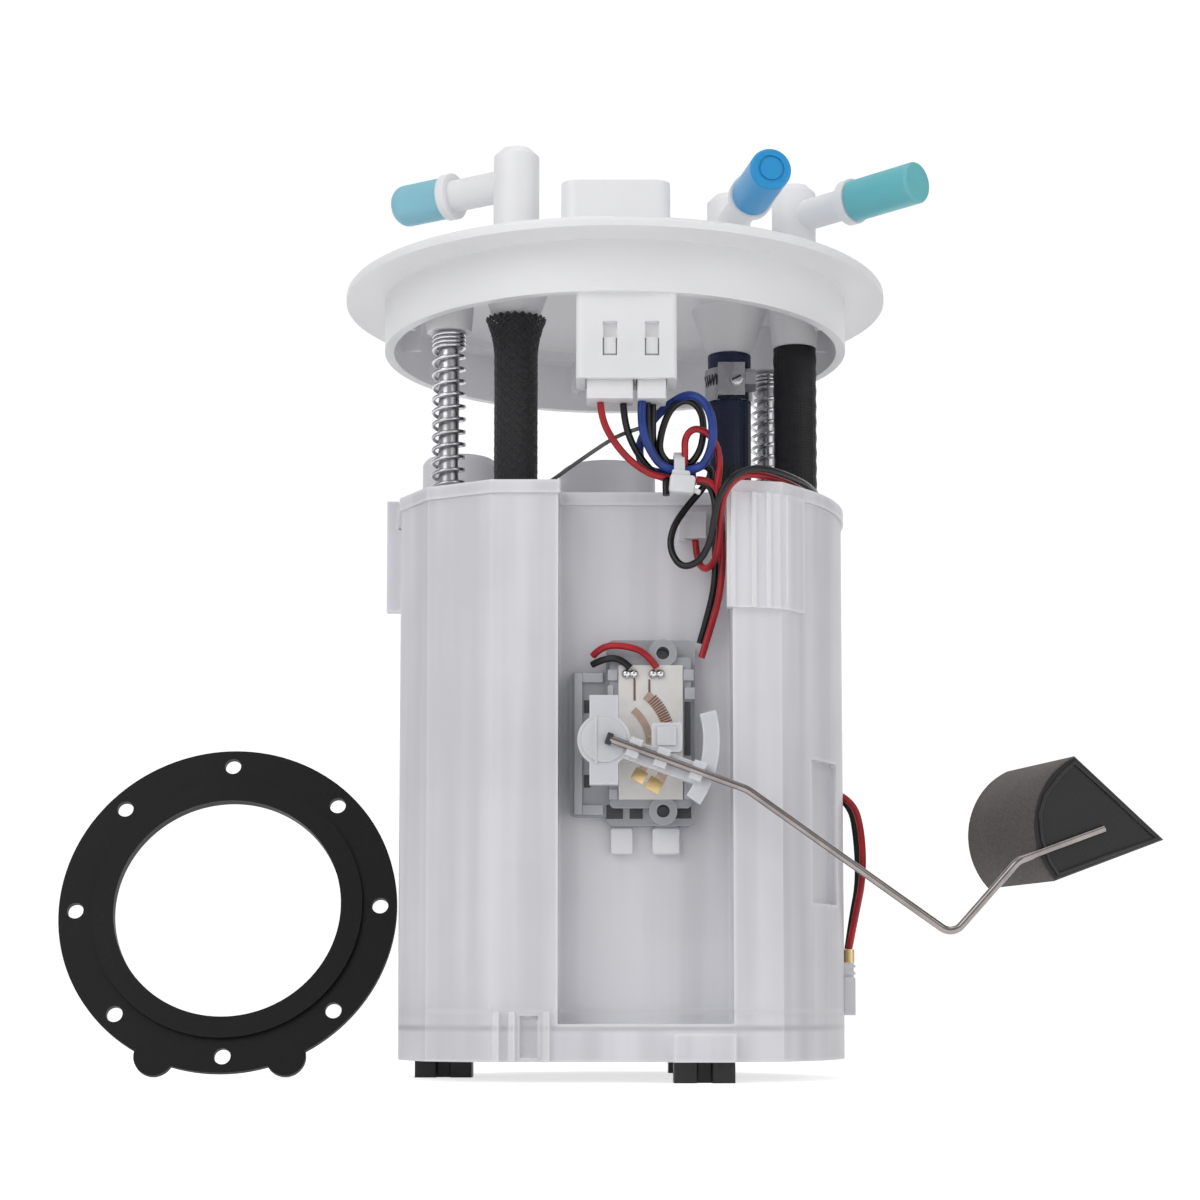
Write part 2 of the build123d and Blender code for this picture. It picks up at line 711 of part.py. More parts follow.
# Ceramic card and the two curved tracks round the pivot
with BuildPart() as resistor_card:
    with BuildSketch(Plane.XZ.offset(-frame_front)):
        with Locations(((card_left + card_right) / 2, (card_top + card_bottom) / 2)):
            Rectangle(card_right - card_left, card_top - card_bottom)
    extrude(amount=card_thickness)
resistor_card.part.label = "resistor_card"
export_step(resistor_card.part, "parts/resistor_card.step")

pivot_plane = Plane(origin=(pivot_x, 0, pivot_z), x_dir=(1, 0, 0), z_dir=(0, -1, 0))


def sector(inner, outer, start, end):
    """A curved band round the origin, between two radii and two angles."""
    with BuildSketch() as band:
        with BuildLine():
            outside = CenterArc((0, 0), outer, start, end - start)
            inside = CenterArc((0, 0), inner, start, end - start)
            Line(inside @ 0, outside @ 0)
            Line(inside @ 1, outside @ 1)
        make_face()
    return band.sketch


with BuildPart() as card_tracks:
    for radius, width in zip(track_radii, track_widths):
        with BuildSketch(pivot_plane.offset(-card_front)):
            add(sector(radius - width / 2, radius + width / 2, track_from, track_to))
        extrude(amount=track_thickness)
card_tracks.part.label = "card_tracks"
export_step(card_tracks.part, "parts/card_tracks.step")

with BuildPart() as solder_blobs:
    for x in (3.4, 9.9):
        for shift in (-0.9, 0.9):
            with Locations((x + shift, card_front, -101.2)):
                Sphere(1.2)
    with Locations(((card_left + card_right) / 2, card_front + 5.0, -101.2)):
        Box(30.0, 10.0, 10.0, mode=Mode.SUBTRACT)
solder_blobs.part.label = "solder_blobs"
export_step(solder_blobs.part, "parts/solder_blobs.step")

# Arm holder: hub, bridge bar, spine along the rod and the curved sector at its end
holder_plane = pivot_plane.offset(-holder_back)
arm_slope = -20.0
with BuildPart() as arm_holder:
    with BuildSketch(holder_plane):
        Circle(hub_radius)
        Rectangle(6.8, 21.4)
        with Locations(Location((12.5, -4.6), arm_slope)):
            Rectangle(25.0, 5.0)
        with Locations((15.0, 0.6)):
            RectangleRounded(7.2, 7.0, 0.8)
    extrude(amount=holder_thickness)
    with BuildSketch(holder_plane):
        add(sector(sector_inner, sector_outer, sector_from, sector_to))
    extrude(amount=holder_thickness)
    for along in (6.0, 13.0, 22.0):
        x = pivot_x + 1.6 + along * math.cos(math.radians(arm_slope))
        z = pivot_z + along * math.sin(math.radians(arm_slope))
        clip_y = holder_back - holder_thickness - clip_depth / 2
        with Locations(Location((x, clip_y, z), (0, -arm_slope, 0))):
            Box(3.0, clip_depth, 4.6)
    disc(holder_plane, pivot_radius + running_fit, holder_thickness, Mode.SUBTRACT)
arm_slot_start = Vector(pivot_x + 1.6, rod_plane_y, pivot_z)

# Bent wire of the arm, and the float that it carries
face_run = Vector(math.cos(math.radians(float_turn)), math.sin(math.radians(float_turn)), 0)
float_corner = Vector(95.0, rod_plane_y, -147.4)
arm_points = [
    (arm_slot_start.X, rod_plane_y, arm_slot_start.Z),
    (31.0, rod_plane_y, -130.5),
    (79.3, rod_plane_y, -165.1),
    (float_corner.X, rod_plane_y, float_corner.Z),
    (float_corner.X + 21.5, rod_plane_y + 21.5 * math.tan(math.radians(float_turn)), -139.5),
]
with BuildPart() as float_rod:
    with BuildLine() as arm_route:
        FilletPolyline(*arm_points, radius=[8.0, 3.5, 4.0])
    arm_path = arm_route.wires()[0]
    with BuildSketch(Plane(origin=arm_path @ 0, z_dir=arm_path % 0)):
        Circle(arm_wire_radius)
    sweep(path=arm_path)
float_rod.part.label = "float_rod"
export_step(float_rod.part, "parts/float_rod.step")

with BuildPart(mode=Mode.PRIVATE) as arm_groove:
    with BuildLine():
        FilletPolyline(*arm_points, radius=[8.0, 3.5, 4.0])
    with BuildSketch(Plane(origin=arm_path @ 0, z_dir=arm_path % 0)):
        Circle(arm_wire_radius + contact_gap / 2)
    sweep(path=arm_path)

with BuildPart() as arm_holder_cut:
    add(arm_holder.part)
    add(arm_groove.part, mode=Mode.SUBTRACT)
arm_holder_cut.part.label = "arm_holder"
export_step(arm_holder_cut.part, "parts/arm_holder.step")

float_face = Plane(
    origin=Vector(99.2, rod_plane_y + 4.2 * math.tan(math.radians(float_turn)) + 0.3, -136.3),
    x_dir=face_run,
    z_dir=Vector(math.sin(math.radians(float_turn)), -math.cos(math.radians(float_turn)), 0),
)
float_top = (10.8, 14.2)
float_bottom = (5.2, -15.8)
float_tip = (33.8, -5.5)
with BuildPart() as level_float:
    with BuildSketch(float_face):
        with BuildLine():
            ThreePointArc(float_top, (0, 0), float_bottom)
            Polyline(float_bottom, float_tip, float_top)
        make_face()
    extrude(amount=-float_depth)
    fillet(level_float.faces().sort_by(Axis(float_face.origin, float_face.z_dir))[-1].edges(), 0.8)
with BuildPart() as float_cut:
    add(level_float.part)
    add(arm_groove.part, mode=Mode.SUBTRACT)
float_cut.part.label = "float"
export_step(float_cut.part, "parts/float.step")

# Wiper: two sprung fingers from the holder to the tracks
with BuildPart() as wiper_contact:
    for radius in track_radii:
        finger = Plane(origin=(pivot_x + radius, holder_back, pivot_z + 0.6), x_dir=(0, -1, 0), z_dir=(1, 0, 0))
        gap = -(holder_back - card_front) - track_thickness - contact_gap
        with BuildSketch(finger.offset(-0.6)):
            with BuildLine():
                foot = Polyline((0, 2.6), (-0.3, 2.6), (-gap, -1.2), (-gap, -1.6), (-gap + 0.4, -1.6))
                Polyline(foot @ 1, (-gap + 0.4, -1.2), (0, 2.2), foot @ 0)
            make_face()
        extrude(amount=1.2)
wiper_contact.part.label = "wiper_contact"
export_step(wiper_contact.part, "parts/wiper_contact.step")

# Pump shell and its two ends
pump_foot = Plane((pump_x, pump_y, pump_base_z))
shell_base_z = pump_base_z + pump_base_height
with BuildPart() as pump_shell:
    with BuildSketch(Plane((pump_x, pump_y, shell_base_z))):
        Circle(pump_radius)
        Circle(pump_radius - pump_wall, mode=Mode.SUBTRACT)
    extrude(amount=pump_shell_top - shell_base_z)
pump_shell.part.label = "pump_shell"
export_step(pump_shell.part, "parts/pump_shell.step")

with BuildPart() as pump_base:
    disc(pump_foot, pump_radius, pump_base_height)
    disc(pump_foot, 3.0, -3.0)
    disc(pump_foot.offset(-3.0), 2.0, 8.0, Mode.SUBTRACT)
    disc(pump_foot.offset(3.0), shaft_radius + running_fit, pump_base_height, Mode.SUBTRACT)
    disc(pump_foot.offset(pump_base_height - 1.0), impeller_radius + loose_fit, 1.0, Mode.SUBTRACT)
pump_base.part.label = "pump_base"
export_step(pump_base.part, "parts/pump_base.step")

with BuildPart() as pump_top:
    top_plane = Plane((pump_x, pump_y, pump_shell_top))
    disc(top_plane, pump_radius, pump_top_height)
    fillet(pump_top.edges().group_by(Axis.Z)[-1], 2.0)
    disc(top_plane.offset(pump_top_height), nipple_radius, lid_top_z - pump_shell_top - pump_top_height + 8.0)
    disc(top_plane, shaft_radius + running_fit, 6.0, Mode.SUBTRACT)
    with Locations(top_plane.offset(8.0)):
        Hole(nipple_bore - 1.0, depth=1.0)
    disc(top_plane.offset(7.0), nipple_bore, 40.0, Mode.SUBTRACT)
pump_top.part.label = "pump_top"
export_step(pump_top.part, "parts/pump_top.step")

# Magnets, two shells against the wall
with BuildPart() as pump_magnets:
    with BuildSketch(Plane((pump_x, pump_y, core_bottom))):
        Circle(pump_radius - pump_wall)
        Circle(magnet_inner, mode=Mode.SUBTRACT)
        Rectangle(6.0, 2 * pump_radius, mode=Mode.SUBTRACT)
    extrude(amount=core_top - core_bottom)
pump_magnets.part.label = "pump_magnets"
export_step(pump_magnets.part, "parts/pump_magnets.step")

# Armature on its shaft, with a slotted core and commutator
shaft_bottom = pump_base_z + 3.0 + contact_gap
with BuildPart() as pump_armature:
    disc(Plane((pump_x, pump_y, shaft_bottom)), shaft_radius, pump_shell_top + 6.0 - contact_gap - shaft_bottom)
    disc(Plane((pump_x, pump_y, core_bottom)), core_radius, core_top - core_bottom)
    disc(Plane((pump_x, pump_y, core_top)), 7.0, 9.0)
    with BuildSketch(Plane((pump_x, pump_y, core_bottom))):
        with PolarLocations(core_radius - 2.0, 8):
            Rectangle(4.5, 1.6)
    extrude(amount=core_top - core_bottom, mode=Mode.SUBTRACT)
pump_armature.part.label = "pump_armature"
export_step(pump_armature.part, "parts/pump_armature.step")

# Impeller with vanes round its edge, on the same shaft
with BuildPart() as impeller:
    impeller_plane = Plane((pump_x, pump_y, shell_base_z - 1.0 + contact_gap))
    disc(impeller_plane, impeller_radius, impeller_height)
    with BuildSketch(impeller_plane):
        with PolarLocations(impeller_radius - 1.2, 24):
            Rectangle(2.6, 1.4)
    extrude(amount=impeller_height, mode=Mode.SUBTRACT)
    disc(impeller_plane, shaft_radius, impeller_height, Mode.SUBTRACT)
impeller.part.label = "impeller"
export_step(impeller.part, "parts/impeller.step")

# Strainer under the pump
with BuildPart() as strainer:
    with BuildSketch(Plane((pump_x, pump_y, pan_floor_z + loose_fit))):
        Circle(pump_radius - 5.2)
    extrude(amount=7.0)
    fillet(strainer.edges(), 2.0)
    disc(Plane((pump_x, pump_y, pan_floor_z + 5.0)), 5.0, pump_base_z - 0.1 - pan_floor_z - 5.0)
    disc(Plane((pump_x, pump_y, pump_base_z - 3.2)), 3.0 + contact_gap, 4.0, Mode.SUBTRACT)
strainer.part.label = "strainer"
export_step(strainer.part, "parts/strainer.step")

# Pleated filter round the pump
with BuildPart() as filter_element:
    with BuildSketch(Plane((pump_x, pump_y, filter_bottom))):
        Circle(filter_outer)
        Circle(filter_inner, mode=Mode.SUBTRACT)
    extrude(amount=filter_top - filter_bottom)
    with BuildSketch(Plane((pump_x, pump_y, filter_bottom + 4.0))):
        with PolarLocations(filter_outer - 1.5, pleats):
            Rectangle(4.0, 2.0)
    extrude(amount=filter_top - filter_bottom - 8.0, mode=Mode.SUBTRACT)
filter_element.part.label = "filter_element"
export_step(filter_element.part, "parts/filter_element.step")

# Jet pump on the pan floor
jet_x = side_x - 28.5
jet_y = -18.0
with BuildPart() as jet_pump:
    jet_start = Plane(origin=(jet_x, jet_y, pan_floor_z + 5.0), x_dir=(0, 1, 0), z_dir=(-1, 0, 0))
    disc(jet_start, 4.6, 16.0)
    disc(jet_start.offset(16.0), 3.2, 14.0)
    disc(jet_start, 2.2, 30.0, Mode.SUBTRACT)
    with Locations((jet_x - 8.0, jet_y, pan_floor_z + 2.4)):
        Box(8.0, 9.2, 4.8)
    disc(jet_start, 2.2, 30.0, Mode.SUBTRACT)
jet_pump.part.label = "jet_pump"
export_step(jet_pump.part, "parts/jet_pump.step")

# Rubber valve over the inlet holes, with its stem through the pan
with BuildPart() as inlet_valve:
    disc(Plane((-36.0, -14.0, pan_floor_z)), 6.4, 0.9)
    disc(Plane((-36.0, -14.0, pan_z)), 1.0 - contact_gap, pan_floor)
    disc(Plane((-36.0, -14.0, pan_floor_z + 0.9)), 1.8, 0.6)
inlet_valve.part.label = "inlet_valve"
export_step(inlet_valve.part, "parts/inlet_valve.step")

# Connector block low on the right wall, and its terminal
with BuildPart() as side_block:
    with Locations((side_x + 0.7, 0, -179.3)):
        Box(4.0, 9.0, 9.6)
    with Locations((side_x + 0.7, 0, -172.6)):
        Box(3.4, 7.0, 3.8)
    for z in (-171.6, -173.4):
        with Locations((side_x + 0.7, 0, z)):
            Box(4.2, 7.6, 0.7)
    disc(Plane((tank_x, 0, -185.0)), tank_radius + 0.05, 18.0, Mode.SUBTRACT)
side_block.part.label = "side_block"
export_step(side_block.part, "parts/side_block.step")

with BuildPart() as side_terminal:
    for y in (-1.9, 1.9):
        disc(Plane((side_x + 1.4, y, -170.7)), wire_radius + 0.5, 3.4)
side_terminal.part.label = "side_terminal"
export_step(side_terminal.part, "parts/side_terminal.step")

# Gasket, standing on its two tabs and leaning back beside the bucket
gasket_x = tank_x - tank_radius - gasket_radius - 0.7
gasket_foot = tab_ring * math.cos(math.radians(tab_angle)) + tab_radius
lean = math.radians(gasket_lean)
gasket_plane = Plane(
    origin=(
        gasket_x,
        gasket_foot_y + gasket_foot * math.sin(lean),
        floor_z + gasket_foot * math.cos(lean) + gasket_thickness * math.sin(lean) + 0.02,
    ),
    x_dir=(1, 0, 0),
    z_dir=(0, -math.cos(lean), math.sin(lean)),
)
with BuildPart() as gasket:
    with BuildSketch(gasket_plane):
        Circle(gasket_radius)
        for angle in (-90 - tab_angle, -90 + tab_angle):
            with PolarLocations(tab_ring, 1, start_angle=angle):
                Circle(tab_radius)
    extrude(amount=-(gasket_thickness - gasket_step_height))
    with BuildSketch(gasket_plane):
        Circle(gasket_step)
    extrude(amount=gasket_step_height)
    disc(gasket_plane.offset(gasket_step_height), gasket_hole, -gasket_thickness, Mode.SUBTRACT)
    with BuildSketch(gasket_plane):
        with PolarLocations(gasket_hole_ring, gasket_holes, start_angle=1.0):
            Circle(gasket_hole_radius)
    extrude(amount=-gasket_thickness, mode=Mode.SUBTRACT)
gasket.part.label = "gasket"
export_step(gasket.part, "parts/gasket.step")

# Zip tie round the wires, with its head and tail
with BuildPart() as zip_tie:
    tie_plane = Plane(origin=(tie_x - tie_width / 2, tie_y, tie_z), x_dir=(0, 1, 0), z_dir=(1, 0, 0))
    with BuildSketch(tie_plane):
        Circle(tie_radius + tie_strap)
        Circle(tie_radius, mode=Mode.SUBTRACT)
    extrude(amount=tie_width)
    with Locations((tie_x, tie_y - tie_radius - tie_strap - 0.9, tie_z)):
        Box(6.0, 3.0, 5.4)
    with Locations((tie_x, tie_y - tie_radius - tie_strap - 1.0, tie_z + 5.0)):
        Box(tie_width - 0.6, 1.1, 5.2)
    disc(tie_plane, tie_radius, tie_width, Mode.SUBTRACT)
zip_tie.part.label = "zip_tie"
export_step(zip_tie.part, "parts/zip_tie.step")

# White clip on the wall of the recess
with BuildPart() as wire_clip:
    with Locations((18.8, recess_y - 2.4, -64.0)):
        Box(6.6, 4.8, 6.4)
        Box(3.6, 2.6, 6.4, mode=Mode.SUBTRACT)
wire_clip.part.label = "wire_clip"
export_step(wire_clip.part, "parts/wire_clip.step")

# Wires from the plugs to the tie, which move with the flange. In the tie they lie in a ring.
plug_foot = boss_bottom - plug_reach - contact_gap
tie_ring = 2.3
tie_left_x = tie_x - 4.4
tie_right_x = tie_x + 3.4


def in_tie(x, angle):
    """The point of a wire where it passes the tie, at an angle round the bundle."""
    turn = math.radians(angle)
    return (x, tie_y + tie_ring * math.cos(turn), tie_z + tie_ring * math.sin(turn))


flange_wires = {
    "wire_red_main": [
        (-3.8, -52.0, plug_foot),
        (-3.6, -52.0, -41.6),
        (-0.2, -51.0, -47.6),
        (4.6, -48.6, -52.2),
        in_tie(tie_left_x - 0.6, 240),
        in_tie(tie_right_x, 240),
    ],
    "wire_black_main": [
        (1.7, -51.0, plug_foot),
        (1.9, -50.8, -41.4),
        (3.6, -48.8, -46.6),
        (7.0, -45.4, -51.2),
        in_tie(tie_left_x, 300),
        in_tie(tie_right_x, 300),
    ],
    "wire_black_signal": [
        (8.8, -50.0, plug_foot),
        (8.8, -49.8, -41.6),
        (8.8, -47.2, -46.0),
        (10.0, -44.6, -49.0),
        in_tie(tie_left_x + 1.4, 60),
        in_tie(tie_right_x, 60),
    ],
    "wire_blue_signal": [
        (6.2, -53.0, plug_foot),
        (5.8, -53.0, -42.6),
        (7.6, -51.6, -48.4),
        in_tie(tie_left_x, 180),
        in_tie(tie_right_x + 0.4, 180),
        (22.4, -49.6, -50.0),
        (23.4, -52.2, -44.6),
        (22.2, -52.6, -38.6),
        (18.0, -51.0, -34.8),
        (12.8, -46.4, -36.4),
        (8.0, -44.0, -40.8),
        (5.2, -42.4, -46.4),
        (6.6, -41.6, -51.2),
        in_tie(tie_left_x, 0),
        in_tie(tie_right_x, 0),
    ],
}
for name, points in flange_wires.items():
    wire = wire_along(name, points, blue_wire_radius if "blue" in name else wire_radius)
    wire.part.label = name
    export_step(wire.part, f"parts/{name}.step")

# Wires between the tie and the bucket, which bend as the flange comes down
between_wires = {
    "wire_red_sender": [
        in_tie(tie_right_x + contact_gap, 240),
        in_tie(tie_right_x + 2.6, 240),
        (25.0, -45.4, -57.6),
        (25.4, -43.2, -62.8),
        (25.9, -40.4, -69.2),
        (26.0, -38.0, -75.4),
        (25.2, -36.4, -82.6),
        (23.0, -35.6, -90.0),
        (20.9, -35.4, -96.8),
    ],
    "wire_black_sender": [
        in_tie(tie_right_x + contact_gap, 300),
        in_tie(tie_right_x + 2.8, 300),
        (24.2, -42.0, -59.0),
        (24.0, -39.6, -65.2),
        (24.4, -37.0, -72.0),
        (24.2, -35.2, -79.0),
        (22.6, -34.2, -86.0),
        (20.6, -33.2, -93.0),
    ],
    "lead_black_pump": [
        in_tie(tie_right_x + contact_gap, 60),
        in_tie(tie_right_x + 2.6, 60),
        (23.4, -41.2, -52.2),
        (21.4, -38.6, -55.4),
        (17.4, -37.8, -59.8),
        (13.8, -38.6, -65.2),
        (13.0, -40.0, -71.0),
        (15.8, -41.8, -75.8),
        (20.0, -43.8, -74.8),
        (22.6, -46.2, -70.6),
        (23.4, -49.0, -65.8),
        (24.4, -51.6, -59.8),
        (28.4, -51.8, -54.6),
        (34.4, -48.4, -52.4),
        (41.0, -42.2, -52.8),
        (46.8, -33.2, -53.3),
        (50.2, -23.6, -53.5),
        (51.4, -15.0, -53.6),
        (51.5, -12.6, -57.8),
        (51.6, -12.4, -62.4),
    ],
}
for name, points in between_wires.items():
    wire = wire_along(name, points, wire_radius)
    wire.part.label = name
    export_step(wire.part, f"parts/{name}.step")

# Leads that stay with the bucket
fixed_wires = {
    "lead_red_pump": [
        (19.6, -33.4, -67.4),
        (19.8, -34.0, -72.0),
        (21.6, -36.6, -75.6),
        (24.0, -40.6, -74.2),
        (24.9, -44.6, -69.8),
        (25.0, -48.0, -64.6),
        (25.8, -50.0, -58.8),
        (29.6, -48.8, -54.4),
        (34.4, -45.6, -53.6),
        (40.0, -39.4, -53.5),
        (45.0, -31.2, -53.6),
        (47.8, -22.4, -53.5),
        (48.7, -15.0, -53.6),
        (48.8, -12.6, -57.8),
        (48.9, -12.4, -62.4),
    ],
    "card_lead_red": [
        (-5.6, -36.0, -96.4),
        (-3.4, -38.2, -94.2),
        (2.6, -39.2, -94.4),
        (7.4, -39.6, -96.2),
        (9.9, -39.0, -99.8),
    ],
    "card_lead_black": [
        (-5.8, -36.0, -98.6),
        (-2.6, -38.0, -97.2),
        (1.4, -39.0, -97.6),
        (3.4, -39.0, -99.8),
    ],
    "side_red": [
        (side_x - 2.0, -1.9, -127.0),
        (side_x + 2.8, -1.9, -129.0),
        (side_x + 5.0, -2.0, -137.4),
        (side_x + 5.2, -1.9, -149.0),
        (side_x + 3.2, -1.8, -158.4),
        (side_x + 1.4, -1.9, -167.2),
    ],
    "side_black": [
        (side_x - 2.0, 1.9, -127.0),
        (side_x + 2.4, 1.9, -129.4),
        (side_x + 4.0, 2.0, -138.4),
        (side_x + 4.4, 1.9, -150.0),
        (side_x + 2.6, 1.8, -159.0),
        (side_x + 1.4, 1.9, -167.2),
    ],
}
for name, points in fixed_wires.items():
    wire = wire_along(name, points, wire_radius)
    wire.part.label = name
    export_step(wire.part, f"parts/{name}.step")
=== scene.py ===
"""Dressed model of a fuel pump module: stage, finishes and the pieces that are finer than its solids."""

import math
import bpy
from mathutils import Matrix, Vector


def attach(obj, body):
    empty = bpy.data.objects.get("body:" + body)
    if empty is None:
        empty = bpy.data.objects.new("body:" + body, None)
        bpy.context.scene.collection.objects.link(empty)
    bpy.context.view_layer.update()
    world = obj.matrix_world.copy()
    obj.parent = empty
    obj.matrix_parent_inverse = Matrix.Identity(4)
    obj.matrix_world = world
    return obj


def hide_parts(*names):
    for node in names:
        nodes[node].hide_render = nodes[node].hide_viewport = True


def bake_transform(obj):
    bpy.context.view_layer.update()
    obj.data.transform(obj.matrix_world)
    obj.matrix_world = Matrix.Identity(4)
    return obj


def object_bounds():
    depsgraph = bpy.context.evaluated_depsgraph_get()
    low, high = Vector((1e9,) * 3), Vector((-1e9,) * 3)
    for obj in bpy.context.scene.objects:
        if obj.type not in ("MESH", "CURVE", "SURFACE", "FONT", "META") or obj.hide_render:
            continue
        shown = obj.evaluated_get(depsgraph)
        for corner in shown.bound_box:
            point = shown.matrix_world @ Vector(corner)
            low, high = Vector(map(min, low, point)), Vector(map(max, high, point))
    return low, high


bl_info = {
    "name": "Fuel pump module",
    "version": (1, 0, 0),
    "blender": (4, 5, 0),
    "location": "View3D > Sidebar > Fuel pump",
    "description": "Builds the finishes and fine pieces of a fuel pump module on its solids",
    "category": "Object",
}

import bpy
from mathutils import Matrix, Vector

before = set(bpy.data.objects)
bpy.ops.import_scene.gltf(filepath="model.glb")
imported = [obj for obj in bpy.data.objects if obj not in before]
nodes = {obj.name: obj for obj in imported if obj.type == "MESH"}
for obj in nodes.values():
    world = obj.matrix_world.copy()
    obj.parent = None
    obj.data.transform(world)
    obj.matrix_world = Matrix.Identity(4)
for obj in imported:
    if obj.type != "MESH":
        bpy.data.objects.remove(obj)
cad_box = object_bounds()

# Where hoses, springs, rods and the pan's seam lie, in metres and in the shared frame
HOSE_FOOT = -0.0549
HOSE_TOP = -0.0096
HOSE_BORE = 0.0040
BRAIDED_HOSE = (-0.025, -0.025)
NAVY_HOSE = (0.0305, 0.010)
BLACK_HOSE = (0.0473, 0.003)
SPRING_FOOT = -0.0543
LEFT_ROD = (-0.0418, -0.025)
RIGHT_ROD = (0.04169, 0.02974)
PAN_SEAM = -0.187
WIRE_BLACK = (0.006, 0.006, 0.007, 1.0)


class Signal:
    """A socket of a finish's node tree, with arithmetic written as on numbers."""

    def __init__(self, tree, socket):
        self.tree = tree
        self.socket = socket

    def maths(self, operation, *values):
        node = self.tree.nodes.new("ShaderNodeMath")
        node.operation = operation
        for slot, value in zip(node.inputs, values):
            connect(self.tree, slot, value)
        return Signal(self.tree, node.outputs[0])

    def __add__(self, other):
        return self.maths("ADD", self, other)

    __radd__ = __add__

    def __sub__(self, other):
        return self.maths("SUBTRACT", self, other)

    def __rsub__(self, other):
        return self.maths("SUBTRACT", other, self)

    def __mul__(self, other):
        return self.maths("MULTIPLY", self, other)

    __rmul__ = __mul__

    def __lt__(self, other):
        return self.maths("LESS_THAN", self, other)

    def sine(self):
        return self.maths("SINE", self)

    def absolute(self):
        return self.maths("ABSOLUTE", self)

    def step(self, low, high):
        """0 below low, 1 above high, and smooth between."""
        node = self.tree.nodes.new("ShaderNodeMapRange")
        node.interpolation_type = "SMOOTHSTEP"
        connect(self.tree, node.inputs["Value"], self)
        connect(self.tree, node.inputs["From Min"], low)
        connect(self.tree, node.inputs["From Max"], high)
        return Signal(self.tree, node.outputs["Result"])


def connect(tree, slot, value):
    """Links a signal to a socket, or writes a plain value on it."""
    if isinstance(value, Signal):
        tree.links.new(value.socket, slot)
    else:
        slot.default_value = value


class Finish:
    """A material with one Principled shader, whose plain sockets are written on it directly."""

    def __init__(self, name, **plain):
        self.material = bpy.data.materials.new(name)
        self.material.use_nodes = True
        self.tree = self.material.node_tree
        self.shader = self.tree.nodes["Principled BSDF"]
        for socket, value in plain.items():
            self.shader.inputs[socket.replace("_", " ")].default_value = value

    def node(self, kind, settings=None, inputs=None, output=0):
        node = self.tree.nodes.new(kind)
        for name, value in (settings or {}).items():
            setattr(node, name, value)
        for name, value in (inputs or {}).items():
            connect(self.tree, node.inputs[name], value)
        return Signal(self.tree, node.outputs[output])

    def place(self):
        return self.node("ShaderNodeTexCoord", output="Object")

    def surface(self):
        return self.node("ShaderNodeTexCoord", output="UV")

    def stretched(self, where, scale):
        return self.node("ShaderNodeMapping", inputs={"Vector": where, "Scale": scale})

    def along(self, where, axis):
        return self.node("ShaderNodeSeparateXYZ", inputs={"Vector": where}, output=axis)

    def noise(self, where, scale, detail=3.0, roughness=0.55):
        values = {"Vector": where, "Scale": scale, "Detail": detail, "Roughness": roughness}
        return self.node("ShaderNodeTexNoise", inputs=values)

    def mixed(self, share, first, second):
        node = self.tree.nodes.new("ShaderNodeMix")
        node.data_type = "RGBA"
        connect(self.tree, node.inputs[0], share)
        connect(self.tree, node.inputs[6], first)
        connect(self.tree, node.inputs[7], second)
        return Signal(self.tree, node.outputs[2])

    def feed(self, socket, value):
        connect(self.tree, self.shader.inputs[socket], value)

    def relief(self, height, strength, distance):
        values = {"Height": height, "Strength": strength, "Distance": distance}
        self.feed("Normal", self.node("ShaderNodeBump", inputs=values))

    def edges(self, width):
        """How near a point lies to an edge, from 0 on a flat to about 1 on a corner; the finishes use it to
        paint highlights on edges.
        """
        bevel = self.node("ShaderNodeBevel", {"samples": 4}, {"Radius": width})
        normal = self.node("ShaderNodeNewGeometry", output="Normal")
        both = {0: bevel, 1: normal}
        dot = self.node("ShaderNodeVectorMath", {"operation": "DOT_PRODUCT"}, both, "Value")
        return (1.0 - dot) * 4.0


def shade(colour, factor):
    """A colour made darker or lighter."""
    return (*(channel * factor for channel in colour[:3]), 1.0)


def milky(name, colour, glow, roughness=0.42, depth=0.004):
    """Milky nylon that light enters: clouded inside, with faint flow marks and a moulded grain."""
    radii = (1.0, 0.95, 1.0)
    finish = Finish(name, Subsurface_Weight=glow, Subsurface_Scale=depth, Subsurface_Radius=radii, IOR=1.5)
    where = finish.place()
    cloud = finish.noise(where, 18.0, 4.0)
    flow = finish.noise(finish.stretched(where, (60.0, 60.0, 6.0)), 1.0, 2.0)
    tint = finish.mixed(cloud.step(0.35, 0.7) * 0.5, colour, shade(colour, 0.93))
    # The edges are mixed towards near-white: a painted highlight.
    finish.feed("Base Color", finish.mixed(finish.edges(0.0008) * 0.35, tint, (0.96, 0.96, 0.98, 1.0)))
    finish.feed("Roughness", roughness + (flow - 0.5) * 0.22)
    grain = finish.noise(where, 900.0, 2.0)
    finish.relief(grain * 0.5 + flow * 0.8, 0.12, 0.0004)
    return finish.material


